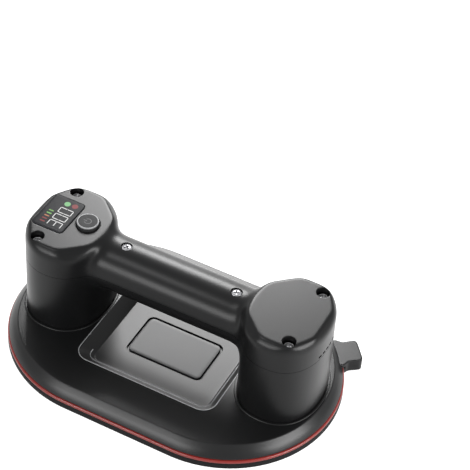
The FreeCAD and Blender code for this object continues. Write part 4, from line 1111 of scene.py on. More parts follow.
def stadium(inset: float, arc_steps: int = 96, straight_steps: int = 24) -> Outline:
    """The plate's outline, moved in by an inset.

    Args:
        inset: how far it is moved in.
        arc_steps: how many lengths each round end has.
        straight_steps: how many lengths each straight side has.

    Returns:
        Its points, anticlockwise.
    """
    corner = high_of("base_plate")
    end_x = corner.x - corner.y
    radius = corner.y - inset
    points = []
    for side in (1, -1):
        for step in range(straight_steps):
            points.append((side * end_x * (2 * step / straight_steps - 1), -side * radius))
        for step in range(arc_steps):
            turn = math.pi * (step / arc_steps - 0.5)
            points.append((side * (end_x + radius * math.cos(turn)),
                           side * radius * math.sin(turn)))
    return np.array(points)


@dataclass
class TowerShape:
    """Size and form that both towers share, about a tower's own axis."""

    axis_x: float = 94.6
    half_u: float = 32.5
    half_v: float = 40.2
    power: float = 2.24
    draft: float = 0.3
    top_z: float = 100.8
    end_u: float = 27.6
    end_v: float = 16.5
    side_u: float = 15.5
    side_v: float = 35.3
    back_u: float = -8.0
    inner_u: float = -28.0
    inner_v: float = 17.0
    corner_radii: Tuple[float, ...] = (26.0, 24.0, 24.0, 24.0)
    shoulder: float = 5.0
    least_slope: float = 1 / 60

    def oval(self, inset: float, count: int = 160) -> Outline:
        """Cross-section at the foot, moved in by an inset.

        Args:
            inset: how far it is moved in.
            count: how many points it has.

        Returns:
            Its points, anticlockwise.
        """
        turn = np.linspace(0, 2 * math.pi, count, endpoint=False)
        c, s = np.cos(turn), np.sin(turn)
        share = 2 / self.power
        return np.column_stack([(self.half_u - inset) * np.sign(c) * np.abs(c) ** share,
                                (self.half_v - inset) * np.sign(s) * np.abs(s) ** share])

    def placed(self, outline: Outline, end: End) -> Outline:
        """Moves an outline drawn about a tower's axis to one of the towers.

        Args:
            outline: the outline, about the tower's axis.
            end: the tower.

        Returns:
            The outline in its place.
        """
        if end is End.PUMP:
            return outline + (self.axis_x, 0)
        return (outline * (-1, 1))[::-1] - (self.axis_x, 0)

    def wall(self, u: np.ndarray, v: np.ndarray, z: np.ndarray) -> np.ndarray:
        """Distance from the oval wall with its draft.

        Args:
            u: places along the lifter from the tower's axis, outwards.
            v: places across it.
            z: levels.

        Returns:
            The distance at each place, negative inside.
        """
        inset = self.draft * (z - DECK_Z) / (self.top_z - DECK_Z)
        a, b = self.half_u - inset, self.half_v - inset
        ru, rv = np.abs(u) / a, np.abs(v) / b
        total = np.maximum(ru ** self.power + rv ** self.power, TINY)
        norm = total ** (1 / self.power)
        rise = self.power - 1
        slope = norm / total * np.sqrt((ru ** rise / a) ** 2 + (rv ** rise / b) ** 2)
        return (norm - 1) / np.maximum(slope, self.least_slope)

    def lid(self, u: np.ndarray, v: np.ndarray, z: np.ndarray) -> np.ndarray:
        """Distance from the 45 degree bevels that lead up to the flat top.

        Args:
            u: places along the lifter from the tower's axis, outwards.
            v: places across it.
            z: levels.

        Returns:
            The distance at each place, negative inside.
        """
        corners = ((self.end_u, 0), (self.end_u, self.end_v), (self.side_u, self.side_v),
                   (self.back_u, self.side_v), (self.inner_u, self.inner_v), (self.inner_u, 0))
        side = np.abs(v)
        result = None
        turned = 0.0
        for index, ((au, av), (bu, bv)) in enumerate(zip(corners, corners[1:])):
            angle = math.atan2(au - bu, bv - av)
            flat = (u - au) * math.cos(angle) + (side - av) * math.sin(angle)
            if result is None:
                result = flat
            else:
                bend = angle - turned
                width = self.corner_radii[index - 1] * math.tan(bend / 2) * math.sin(bend)
                result = smooth_high(result, flat, width)
            turned = angle
        return (result + z - self.top_z) / math.sqrt(2)

    def body(self, u: np.ndarray, v: np.ndarray, z: np.ndarray) -> np.ndarray:
        """Distance from the whole tower below its flat top."""
        return smooth_high(self.wall(u, v, z), self.lid(u, v, z), self.shoulder)


@dataclass(frozen=True)
class TopLayout:
    """Where the window and the push button lie on the display tower's flat top."""

    window_u: float = 11.9
    window_half: Pair = (13.5, 18.5)
    window_corner: float = 3.0
    window_gap: float = 0.1
    button_place: Pair = (-81.2, 2.0)
    button_bore: float = 9.1


# ---- Release lever ----

@dataclass
class ReleaseLever:
    """Lever with its paddle outside the rim, neck, hub on the pin and arm to the valve.

    Its own frame has X outwards from the centre of the plate's round end.
    """

    finishes: Finishes
    angle: float = 39.5
    reach: float = 16.0
    tip_half: float = 11.2
    neck_half: float = 10.8
    root_half: float = 13.8
    corner: float = 3.4
    edge: float = 0.8
    ground_gap: float = 0.5
    neck_gap: float = 0.4
    seal_clear: float = 1.0
    top_z: float = 11.9
    neck_inset: float = 6.35
    pin_inset: float = 10.0
    pin_bore: float = 1.32
    hub_radius: float = 2.7
    hub_run: Pair = (-5.0, 2.4)
    valve_inset: float = 22.5
    waist_run: Pair = (-2.0, 5.0)
    side_slope: float = 0.95
    arm_end: float = 1.0
    arm_run: Pair = (11.7, 13.7)
    foot_half: Pair = (1.4, 3.0)
    nose_radius: float = 0.8
    nose_rise: float = 0.3
    slot_reach: float = 5.0
    slot_lid: float = 0.5
    slot_rise: float = 1.95
    step: float = 0.42
    back_margin: float = 3.0
    margin: float = 2.0
    sharp_degrees: float = 50.0

    @property
    def rim(self) -> float:
        """Radius of the plate's round end."""
        return high_of("base_plate").y

    def half_width(self, x: np.ndarray) -> np.ndarray:
        """Half width of the paddle along its length: waisted outside the rim.

        Args:
            x: places outwards from the centre of the plate's round end.

        Returns:
            The half width at each place.
        """
        start, waist = (self.rim + run for run in self.waist_run)
        narrow = (self.neck_half - self.root_half) * eased(x, start, waist)
        widen = (self.tip_half - self.neck_half) * eased(x, waist, self.rim + self.reach)
        return self.root_half + narrow + widen

    def paddle(self, x: np.ndarray, y: np.ndarray, z: np.ndarray) -> np.ndarray:
        """Distance from the paddle and the neck that carries it over the stripe.

        Args:
            x: places outwards from the centre of the plate's round end.
            y: places across the lever.
            z: levels.

        Returns:
            The distance at each place, negative inside.
        """
        side = (np.abs(y) - self.half_width(x)) * self.side_slope
        plan = smooth_high(side, x - self.rim - self.reach, BLEND_OF_RADIUS * self.corner)
        body = smooth_high(plan, z - self.top_z, BLEND_OF_RADIUS * self.edge)
        body = smooth_high(body, self.ground_gap - z, BLEND_OF_RADIUS * self.edge)
        under_neck = np.minimum(RIM_Z + self.neck_gap - z, self.rim + self.seal_clear - x)
        return np.maximum.reduce([body, under_neck, self.rim - self.neck_inset - x])

    def shape(self, x: np.ndarray, y: np.ndarray, z: np.ndarray) -> np.ndarray:
        """Distance from the whole lever, in its own frame.

        Args:
            x: places outwards from the centre of the plate's round end.
            y: places across the lever.
            z: levels.

        Returns:
            The distance at each place, negative inside.
        """
        pin_x, pin_z = self.rim - self.pin_inset, middle_of("lever_pin").z
        first, last = self.hub_run
        near, valve_x = RIM_Z + self.neck_gap, self.rim - self.valve_inset
        low, high = self.arm_run
        foot_x, foot_y = self.foot_half
        hub = np.maximum(np.hypot(x - pin_x, z - pin_z) - self.hub_radius,
                         np.maximum(first - y, y - last))
        nose = np.maximum(np.hypot(x - valve_x, z - low - self.nose_rise) - self.nose_radius,
                          np.abs(y) - foot_y)
        parts = [self.paddle(x, y, z), hub, nose,
                 block_distance(x, y, z, (pin_x, first, near),
                                (self.rim - self.neck_inset + OVERLAP, last, self.top_z)),
                 block_distance(x, y, z, (valve_x - foot_x, first, low),
                                (pin_x, self.arm_end, high)),
                 block_distance(x, y, z, (valve_x - foot_x, -foot_y, low),
                                (valve_x + foot_x, foot_y, high))]
        bore = self.pin_bore - np.hypot(x - pin_x, z - pin_z)
        return np.maximum(np.minimum.reduce(parts), bore)

    def placed(self, obj: Piece) -> Piece:
        """Turns a piece from the lever's own frame to its place on the plate.

        Args:
            obj: the piece, in the lever's own frame.

        Returns:
            The same piece.
        """
        corner = high_of("base_plate")
        turn = Matrix.Rotation(math.radians(self.angle), 4, "Z")
        obj.data.transform(Matrix.Translation(Vector((corner.x - corner.y, 0, 0)) * MM) @ turn)
        return obj

    def slot_block(self) -> Piece:
        """What is cut through the plate's rim for the neck, with a roof that clears its swing.

        Returns:
            The block.
        """
        half = self.root_half + self.neck_gap
        near, far = self.rim - self.pin_inset + self.hub_radius, self.rim + self.slot_reach
        roof = self.top_z + self.neck_gap
        foot = np.array([(near, -half), (far, -half), (far, half), (near, half)])
        lid = at_height(foot, roof + self.slot_lid)
        lid[1:3, 2] = roof + self.slot_rise
        return self.placed(ring_solid("lever_slot", [at_height(foot, RIM_Z - OVERLAP), lid]))

    def build(self) -> None:
        """Builds the lever in its place."""
        low = (self.rim - self.valve_inset - self.back_margin, -self.root_half - self.margin,
               self.ground_gap - self.margin)
        high = (self.rim + self.reach + self.margin, self.root_half + self.margin,
                self.arm_run[1] + self.margin)
        lever = self.placed(implicit_solid("release_paddle", self.shape, low, high, self.step))
        present(self.finishes, smooth(lever, self.sharp_degrees), "lever", "lever_black",
                "release_lever")


# ---- Plate, stripe, seal and inset panel ----

@dataclass
class PlateAssembly:
    """Low plate with its sunk pocket, red stripe and soft seal."""

    tower: TowerShape
    lever: ReleaseLever
    finishes: Finishes
    wall: float = 2.8
    slope_inset: float = 7.9
    slope_crown: float = 0.6
    crown_radius: float = 24.0
    crease_radius: float = 1.6
    edge_radius: float = 1.0
    foot_width: float = 1.6
    deck_margin: float = 4.0
    tub_wall: float = 1.2
    pocket_half: Pair = (59.5, 54.7)
    pocket_run: Pair = (8.5, 12.2)
    pocket_corner: float = 11.0
    pocket_corner_run: float = 5.0
    least_corner: float = 1.0
    wall_run: float = 10.0
    floor_share: float = 1.4
    lip_radius: float = 0.8
    foot_radius: float = 1.0
    bead_width: float = 0.7
    bead_height: float = 0.2
    bead_edge: float = 0.2
    bead_root: float = 0.6
    foot_line_share: float = 0.7
    panel_half: Pair = (32.1, 19.8)
    panel_corner: float = 4.0
    panel_groove: float = 1.7
    panel_depth: float = 1.9
    panel_edge: float = 0.45
    bed_lip: float = 0.25
    collar_width: float = 2.0
    collar_height: float = 0.9
    collar_gap: float = 0.2
    collar_outer_edge: float = 0.55
    collar_inner_edge: float = 0.3
    stripe_depth: float = 2.0
    stripe_proud: float = 0.35
    stripe_edge: float = 1.2
    stripe_gaps: Pair = (0.1, 0.15)
    seal_width: float = 16.0
    seal_flare: float = 0.6
    seal_groove: float = 3.0
    seal_groove_depth: float = 1.2
    seal_groove_edges: Pair = (0.4, 0.5)
    seal_foot_edges: Pair = (1.0, 0.9)
    seal_lip_drop: float = 0.15
    seal_lip_inset: float = 0.4
    seal_lip_edge: float = 0.3

    def base_plate(self) -> Piece:
        """Sloping rim and deck, with the pocket, the panel's bed and the towers' collars.

        Returns:
            The plate.
        """
        rise = DECK_Z - RIM_Z
        slant = math.hypot(self.slope_inset, rise) / rise
        crown = (self.slope_inset / 2 - self.slope_crown / slant,
                 (RIM_Z + DECK_Z) / 2 + self.slope_crown * self.slope_inset / (rise * slant))
        profile = rounded_path(((self.foot_width, RIM_Z, 0.0), (0.0, RIM_Z, self.edge_radius),
                                (*crown, self.crown_radius),
                                (self.slope_inset, DECK_Z, self.crease_radius),
                                (self.slope_inset + self.deck_margin, DECK_Z, 0.0)), steps=8)
        plate = ring_solid("base_plate_skin", rings_along(stadium, profile))
        under = self.wall * slant
        roof_z = DECK_Z - self.wall
        top_inset = self.slope_inset * (roof_z - RIM_Z) / (DECK_Z - RIM_Z) + under
        low_z = low_of("base_plate").z
        tub = self.pocket_rings(-self.wall * self.tub_wall, low_z, DECK_Z + OVERLAP)
        room = ring_solid("room", [at_height(stadium(under), RIM_Z - OVERLAP),
                                   at_height(stadium(top_inset), roof_z)])
        combine(room, tub, Combine.CUT, keep_tool=True)
        combine(plate, room, Combine.CUT)
        below_deck = box_solid("floor_trim", (-FAR, -FAR, low_z), (FAR, FAR, DECK_Z - OVERLAP / 2))
        combine(tub, below_deck, Combine.KEEP)
        combine(plate, tub, Combine.ADD)
        for end in End:
            combine(plate, self.collar(end), Combine.ADD)
        for cutter in (self.pocket_cutter, self.panel_bed, self.lever.slot_block):
            combine(plate, cutter(), Combine.CUT)
        return plate

    def pocket_rings(self, inset: float, z_low: float, z_high: float) -> Piece:
        """Sloping block the size of the pocket, changed all round by an inset.

        Args:
            inset: how far its sides are moved in.
            z_low: level of its foot.
            z_high: level of its top.

        Returns:
            The block.
        """
        rings = []
        for z in (z_low, z_high):
            share = (DECK_Z - z) / (DECK_Z - FLOOR_Z)
            rings.append(at_height(self.pocket_outline(share, inset), z))
        return ring_solid("pocket_block", rings)

    def pocket_outline(self, share: float, inset: float = 0.0) -> Outline:
        """The pocket's outline, from its top (share 0) to its floor (share 1).

        Args:
            share: how far down the pocket it lies, from 0 at the top to 1 at the floor.
            inset: how far it is moved in.

        Returns:
            Its points, anticlockwise.
        """
        half_x, half_y = (h - r * share for h, r in zip(self.pocket_half, self.pocket_run))
        corner = self.pocket_corner - self.pocket_corner_run * share
        return rounded_rectangle(half_x - inset, half_y - inset,
                                 max(corner - inset, self.least_corner), steps=14)

    def pocket_cutter(self) -> Piece:
        """What is cut for the pocket, with a rounded lip and a rounded foot.

        Returns:
            The cutter.
        """
        run = self.wall_run
        line = rounded_path((
            (run * self.floor_share, FLOOR_Z, 0.0), (run, FLOOR_Z, self.foot_radius),
            (0.0, DECK_Z, self.lip_radius), (-PAST, DECK_Z, 0.0)), steps=8)
        shares = [(a / run, z) for a, z in line[:-1]]
        above = shares[-1][0] - 2 * HAIR
        shares += [(above, DECK_Z + HAIR), (above, DECK_Z + PAST)]
        return ring_solid("pocket_cutter", rings_along(self.pocket_outline, shares))

    def panel_bed(self) -> Piece:
        """Shallow bed in the pocket's floor that the panel lies in.

        Returns:
            The cutter.
        """
        lip = self.bed_lip
        line = ((0.0, FLOOR_Z - self.panel_depth), (0.0, FLOOR_Z - lip),
                (-lip, FLOOR_Z + HAIR), (-lip, FLOOR_Z + PAST))
        half = tuple(h + self.panel_groove for h in self.panel_half)
        corner = self.panel_corner + self.panel_groove
        return ring_solid("panel_bed", rings_along(inset_rectangle(half, corner), line))

    def inset_panel(self) -> Piece:
        """Flat panel with softly rounded edges.

        Returns:
            The panel.
        """
        low_z = FLOOR_Z - self.panel_depth
        line = rounded_path(((0.0, low_z, 0.0), (0.0, FLOOR_Z, self.panel_edge),
                             (3.0, FLOOR_Z, 0.0)), steps=5)
        outline = inset_rectangle(self.panel_half, self.panel_corner, least=0.8)
        return ring_solid("inset_panel_piece", rings_along(outline, line))

    def bead(self, name: str, share: float, inset: float, z: float) -> Piece:
        """Fine pale line that follows the pocket's outline; its pale colour is a painted
        highlight.

        Args:
            name: the piece's name.
            share: how far down the pocket it lies, from 0 at the lip to 1 at the floor.
            inset: how far inside the outline its middle lies.
            z: level of the face that it lies on.

        Returns:
            The closed line.
        """
        outer, inner = inset - self.bead_width / 2, inset + self.bead_width / 2
        low, top = z - self.bead_root, z + self.bead_height
        line = rounded_path(((outer, low, 0.0), (outer, top, self.bead_edge),
                             (inner, top, self.bead_edge), (inner, low, 0.0)), steps=3)
        return ring_band(name, rings_along(lambda i: self.pocket_outline(share, i), line))

    def lip_highlight_bead(self) -> Piece:
        """Line of painted highlight round the pocket's lip."""
        return self.bead("pocket_lip_highlight", 0.0, -self.bead_width, DECK_Z)

    def foot_highlight_bead(self) -> Piece:
        """Line of painted highlight along the pocket's near and right walls.

        Returns:
            The line.
        """
        share = self.foot_line_share
        bead = self.bead("pocket_foot_highlight", share, 0.0, DECK_Z + share * (FLOOR_Z - DECK_Z))
        half_x, half_y = (h - r for h, r in zip(self.pocket_half, self.pocket_run))
        corner = self.pocket_corner - self.pocket_corner_run
        rest = box_solid("foot_rest", (-FAR, corner - half_y, low_of("base_plate").z),
                         (half_x - corner, FAR, DECK_Z))
        combine(bead, rest, Combine.CUT)
        return bead

    def collar(self, end: End) -> Piece:
        """Low raised ring on the deck round a tower's foot.

        Args:
            end: the tower.

        Returns:
            The ring.
        """
        outer, inner = -self.collar_gap - self.collar_width, -self.collar_gap
        low, top = DECK_Z - OVERLAP, DECK_Z + self.collar_height
        line = rounded_path(((outer, low, 0.0), (outer, top, self.collar_outer_edge),
                             (inner, top, self.collar_inner_edge), (inner, low, 0.0)), steps=5)
        return ring_band("collar", rings_along(
            lambda inset: self.tower.placed(self.tower.oval(inset), end), line))

    def stripe(self) -> Piece:
        """Red band with a rounded face, held between plate and seal.

        Returns:
            The band.
        """
        out = -self.stripe_proud
        low, high = SEAL_TOP_Z + self.stripe_gaps[0], RIM_Z - self.stripe_gaps[1]
        line = rounded_path(((self.stripe_depth, low, 0.0), (out, low, self.stripe_edge),
                             (out, high, self.stripe_edge), (self.stripe_depth, high, 0.0)))
        return ring_band("stripe_band", rings_along(stadium, line))

    def seal(self) -> Piece:
        """Soft seal with a rounded foot and one groove underneath.

        Returns:
            The seal.
        """
        middle = self.seal_width / 2
        half = self.seal_groove / 2
        deep = self.seal_groove_depth
        flare = -self.seal_flare
        inner_foot, outer_foot = self.seal_foot_edges
        lip, bottom = self.seal_groove_edges
        line = rounded_path((
            (self.seal_width, SEAL_TOP_Z, 0.0), (self.seal_width, 0.0, inner_foot),
            (middle + half, 0.0, lip), (middle + half, deep, bottom),
            (middle - half, deep, bottom), (middle - half, 0.0, lip), (flare, 0.0, outer_foot),
            (0.0, SEAL_TOP_Z - self.seal_lip_drop, self.seal_lip_edge),
            (self.seal_lip_inset, SEAL_TOP_Z, 0.0)), steps=5)
        return ring_band("seal_band", rings_along(stadium, line))

    def build(self) -> None:
        """Builds and dresses every piece of the assembly."""
        for make, node, finish in (
                (self.base_plate, "base_plate", "plate_black"),
                (self.inset_panel, "inset_panel", "panel_black"),
                (self.stripe, "stripe_ring", "stripe_red"),
                (self.seal, "seal_ring", "seal_rubber")):
            present(self.finishes, smooth(make()), "frame", finish, node)
        # Pale lines on the pocket's lip and foot, coloured as painted highlights.
        for make in (self.lip_highlight_bead, self.foot_highlight_bead):
            line = present(self.finishes, smooth(make()), "frame", "painted_highlight")
        self.finishes.dress_node("under_plate", "under_black")


# ---- Screws ----

@dataclass
class CrossHeadScrew:
    """Head of a cross-recess screw: domed, with a tapered recess."""

    radius: float = 3.9
    height: float = 2.4
    dome: float = 0.75
    recess: float = 5.2
    recess_width: float = 1.35
    recess_depth: float = 1.9
    recess_corner: float = 0.2
    recess_taper: float = 0.3
    recess_foot: float = 0.45
    recess_mouth: Tuple[Pair, ...] = ((0.92, -0.35), (1.0, 0.4))
    foot_edge: float = 0.2
    foot_share: float = 0.92
    rim_edge: float = 0.35
    crown_sink: float = 0.02
    crown_margin: float = 0.1
    crown_steps: int = 8
    sharp_degrees: float = 40.0

    def head(self, name: str, x: float, y: float, top_z: float, turn: float) -> Piece:
        """Makes one head.

        Args:
            name: the piece's name.
            x: place of its axis.
            y: place of its axis.
            top_z: level of the middle of its domed face.
            turn: how far the recess is turned, in degrees.

        Returns:
            The head.
        """
        shoulder = (self.radius, -self.height + self.foot_edge)
        line = [(self.radius * self.foot_share, -self.height), shoulder]
        line += rounded_path(((*shoulder, 0.0), (self.radius, -self.dome, self.rim_edge),
                              (5 * HAIR, -self.crown_sink, 0.0)), steps=4)[1:-1]
        reach = self.radius - self.rim_edge - self.crown_margin
        for step in range(self.crown_steps + 1):
            share = 1 - step / self.crown_steps
            level = -self.dome * share ** 2 - self.crown_sink
            line.append((max(reach * share, 2 * HAIR), level))
        body = turned_solid(name, line, count=48)
        for across in (0, 90):
            combine(body, self.recess_wing(turn + across), Combine.CUT)
        body.data.transform(Matrix.Translation(Vector((x, y, top_z)) * MM))
        return smooth(body, self.sharp_degrees)

    def recess_wing(self, turn: float) -> Piece:
        """One of the recess's two crossing slots, narrower towards its foot.

        Args:
            turn: how far it is turned, in degrees.

        Returns:
            The cutter.
        """
        rings = []
        for share, z in ((self.recess_foot, -self.recess_depth), *self.recess_mouth):
            half_x = self.recess / 2 * share
            half_y = self.recess_width / 2 * (1 - self.recess_taper * (1 - share))
            rings.append(at_height(rounded_rectangle(half_x, half_y, self.recess_corner,
                                                     steps=3), z))
        wing = ring_solid("recess_wing", rings)
        wing.data.transform(Matrix.Rotation(math.radians(turn), 4, "Z"))
        return wing


# ---- Housing ----

@dataclass
class Housing:
    """Two towers and the round handle between them, moulded in two halves."""

    tower: TowerShape
    top: TopLayout
    finishes: Finishes
    handle_radius: float = 22.0
    handle_end: float = 5.0
    flare: float = 14.0
    top_edge: float = 1.6
    wall: float = 2.8
    skin_step: float = 0.8
    room_step: float = 2.0
    skin_drop: float = 4.0
    room_drop: float = 5.0
    grid_drop: float = 8.0
    parting_gap: float = 0.32
    screw_u: float = 12.9
    screw_v: float = 28.8
    screw_bore: float = 5.2
    bore_lip: float = 0.5
    screw_sink: float = 4.6
    column_radius: float = 7.0
    handle_screw_x: Pair = (-45.3, 49.6)
    handle_screw_sink: float = 0.6
    handle_screw_bore: float = 4.4
    handle_lip: Tuple[Pair, ...] = ((0.0, -0.45), (0.12, -0.2), (0.45, 0.1), (0.45, PAST))
    handle_boss: float = 4.8
    screw_turns: Pair = (20.0, 37.0)
    handle_screw_turns: Pair = (52.0, 24.0)
    deck_screw: Pair = (-13.5, 30.5)
    deck_column_radius: float = 5.5
    deck_column_height: float = 16.0
    vent_count: int = 5
    vent_pitch: float = 5.3
    vent_size: Pair = (3.6, 2.1)
    vent_corner: float = 0.45
    vent_drop: float = 23.3
    vent_reach: float = 8.0
    window_light_half: Pair = (10.7, 14.5)
    window_light_corner: float = 1.0
    top_reach: float = 12.0
    window_lip: Tuple[Pair, ...] = ((0.0, -0.3), (0.12, -0.1), (0.35, 0.02), (0.35, PAST))
    button_lip: Tuple[Pair, ...] = ((0.0, -0.35), (0.35, 0.02), (0.35, PAST))
    button_seat: float = 9.8
    socket_half: Pair = (4.8, 1.9)
    socket_corner: float = 1.85
    socket_reach: float = 10.0
    socket_depth: float = 9.5
    screw_head: CrossHeadScrew = field(default_factory=CrossHeadScrew)

    def outer(self, x: np.ndarray, y: np.ndarray, z: np.ndarray) -> np.ndarray:
        """Distance from the outside of the whole housing.

        Args:
            x: places along the lifter.
            y: places across it.
            z: levels.

        Returns:
            The distance at each place, negative inside.
        """
        u = np.abs(x) - self.tower.axis_x
        towers = self.tower.body(u, y, z)
        handle = np.hypot(y, z - PARTING_Z) - self.handle_radius
        reach = self.tower.axis_x - self.tower.half_u + self.handle_end
        handle = np.maximum(handle, np.abs(x) - reach)
        joined = smooth_low(towers, handle, self.flare)
        return smooth_high(joined, z - self.tower.top_z, self.top_edge)

    def room(self, x: np.ndarray, y: np.ndarray, z: np.ndarray) -> np.ndarray:
        """Distance from the space inside the walls, round the screws' columns.

        Args:
            x: places along the lifter.
            y: places across it.
            z: levels.

        Returns:
            The distance at each place, negative inside.
        """
        u = np.abs(x) - self.tower.axis_x
        v = np.abs(y)
        column = self.column_radius - np.hypot(u - self.screw_u, v - self.screw_v)
        boss = self.handle_boss - np.minimum(*(np.hypot(x - a, y) for a in self.handle_screw_x))
        foot_u, foot_v = self.deck_screw
        foot = self.deck_column_radius - np.hypot(u - foot_u, v - foot_v)
        foot = np.minimum(foot, DECK_Z + self.deck_column_height - z)
        inside = self.outer(x, y, z) + self.wall
        return np.maximum.reduce([inside, column, boss, foot])

    def shell(self) -> Piece:
        """Hollow housing in one piece, cut flat at the deck.

        Returns:
            The hollow housing.
        """
        span_x = self.tower.axis_x + self.tower.half_u + PAST
        span_y = self.tower.half_v + PAST
        low = (-span_x, -span_y, DECK_Z - self.grid_drop)
        high = (span_x, span_y, self.tower.top_z + PAST)
        skin, room = (implicit_solid(name, self.closed(distance, floor_z), low, high, step)
                      for name, distance, floor_z, step in (
                          ("housing_skin", self.outer, DECK_Z - self.skin_drop, self.skin_step),
                          ("housing_room", self.room, DECK_Z - self.room_drop, self.room_step)))
        combine(skin, room, Combine.CUT)
        above_deck = box_solid("deck_trim", (-span_x, -span_y, DECK_Z), (span_x, span_y, FAR))
        return combine(skin, above_deck, Combine.KEEP)

    def closed(self, distance: Distance, floor_z: float) -> Distance:
        """The same shape, ended by a flat floor."""
        return lambda x, y, z: np.maximum(distance(x, y, z), floor_z - z)

    def place(self, end: End, u: float, v: float) -> Pair:
        """Place in the lifter of a point given about a tower's axis."""
        return end.value * (self.tower.axis_x + u), v

    def screw_places(self) -> List[Pair]:
        """Axes of the four deep-set screws."""
        return [self.place(end, self.screw_u, side * self.screw_v)
                for end in End for side in (1, -1)]

    def cut_screw_bores(self, upper: Piece) -> None:
        """Cuts the four deep bores and the two shallow seats, each with a rounded lip.

        Args:
            upper: the upper half.
        """
        top_z, bore = self.tower.top_z, self.screw_bore
        seat_z = top_z - self.screw_sink - self.screw_head.height
        line = [(bore, seat_z)] + rounded_path(
            ((bore, seat_z + OVERLAP, 0.0), (bore, top_z, self.bore_lip),
             (bore + PAST, top_z, 0.0)), steps=4)[1:-1]
        mouth = bore + self.bore_lip + 5 * HAIR
        line += [(mouth, top_z + 2 * HAIR), (mouth, top_z + PAST)]
        for x, y in self.screw_places():
            combine(upper, turned_solid("screw_bore", line, x, y), Combine.CUT)
        ridge_z = PARTING_Z + self.handle_radius
        seat_z = ridge_z - self.handle_screw_sink - self.screw_head.height
        line = [(self.handle_screw_bore, seat_z)] + widened(self.handle_screw_bore, ridge_z,
                                                            self.handle_lip)
        for x in self.handle_screw_x:
            combine(upper, turned_solid("handle_seat", line, x), Combine.CUT)

    def cut_vents(self, upper: Piece) -> None:
        """Cuts the row of short slits through the pump tower's outer wall.

        Args:
            upper: the upper half.
        """
        half_y, half_z = self.vent_size[0] / 2, self.vent_size[1] / 2
        x_low = self.tower.axis_x + self.tower.half_u - self.vent_reach
        z = self.tower.top_z - self.vent_drop
        for index in range(self.vent_count):
            y = (index - (self.vent_count - 1) / 2) * self.vent_pitch
            slit = rounded_bar("vent", half_y, half_z, self.vent_corner, x_low,
                               x_low + 2 * self.vent_reach)
            slit.data.transform(Matrix.Translation(Vector((0, y, z)) * MM))
            combine(upper, slit, Combine.CUT)

    def cut_top(self, upper: Piece) -> None:
        """Cuts the window's recess, the button's bore and the charging socket's mouth.

        Args:
            upper: the upper half.
        """
        top_z, top = self.tower.top_z, self.top
        x, _ = self.place(End.DISPLAY, top.window_u, 0)
        half = tuple(h + top.window_gap for h in top.window_half)
        line = [(0.0, low_of("display_window").z)] + [
            (-wide, z) for wide, z in widened(0.0, top_z, self.window_lip)]
        bed = inset_rectangle(half, top.window_corner + top.window_gap, x)
        combine(upper, ring_solid("window_bed", rings_along(bed, line)), Combine.CUT)
        light = inset_rectangle(self.window_light_half, self.window_light_corner, x)
        line = ((0.0, top_z - self.top_reach), (0.0, top_z + PAST))
        combine(upper, ring_solid("window_light", rings_along(light, line)), Combine.CUT)
        bore, seat, seat_z = top.button_bore, self.button_seat, low_of("button_bezel").z
        line = [(bore, top_z - self.top_reach), (bore, seat_z), (seat, seat_z + HAIR / 10)]
        line += widened(seat, top_z, self.button_lip)
        combine(upper, turned_solid("button_bore", line, *top.button_place), Combine.CUT)
        low, middle = low_of("charge_socket"), middle_of("charge_socket")
        mouth = rounded_bar("socket_mouth", *self.socket_half, self.socket_corner,
                            low.x - self.socket_reach, low.x + self.socket_depth)
        mouth.data.transform(Matrix.Translation(Vector((0, 0, middle.z)) * MM))
        combine(upper, mouth, Combine.CUT)

    def build(self) -> None:
        """Builds both halves and their screws."""
        lower = self.shell()
        lower.name = "housing_lower_half"
        upper = lower.copy()
        upper.data = lower.data.copy()
        upper.name = "housing_upper_half"
        bpy.context.scene.collection.objects.link(upper)
        gap = self.parting_gap / 2
        for half, low_z, high_z in ((lower, 0, PARTING_Z - gap), (upper, PARTING_Z + gap, FAR)):
            trim = box_solid("half_trim", (-FAR, -FAR, low_z), (FAR, FAR, high_z))
            combine(half, trim, Combine.KEEP)
        for cut in (self.cut_screw_bores, self.cut_vents, self.cut_top):
            cut(upper)
        for half, node in ((lower, "lower_housing"), (upper, "upper_housing")):
            present(self.finishes, smooth(half), "frame", "housing_black", node)
        self.build_screws()

    def build_screws(self) -> None:
        """Heads of the four tower screws and the two handle screws."""
        tower_z = self.tower.top_z - self.screw_sink
        handle_z = PARTING_Z + self.handle_radius - self.handle_screw_sink
        first_turn, next_turn = self.screw_turns
        tower = [("tower_screw", x, y, tower_z, first_turn + next_turn * i)
                 for i, (x, y) in enumerate(self.screw_places())]
        handle = [("handle_screw", x, 0, handle_z, turn)
                  for x, turn in zip(self.handle_screw_x, self.handle_screw_turns)]
        for name, rows, finish, node in (
                ("tower_screw_heads", tower, "screw_black", "tower_screws"),
                ("handle_screw_heads", handle, "screw_zinc", "handle_screws")):
            heads = join_objects(name, [self.screw_head.head(*row) for row in rows])
            present(self.finishes, smooth(heads, self.screw_head.sharp_degrees), "frame",
                    finish, node)


# ---- Display and button ----

# Lit segments of the digits shown, named from a at the top round to f, with g in the middle.
SEGMENTS = {0: "abcdef", 3: "abgcd"}


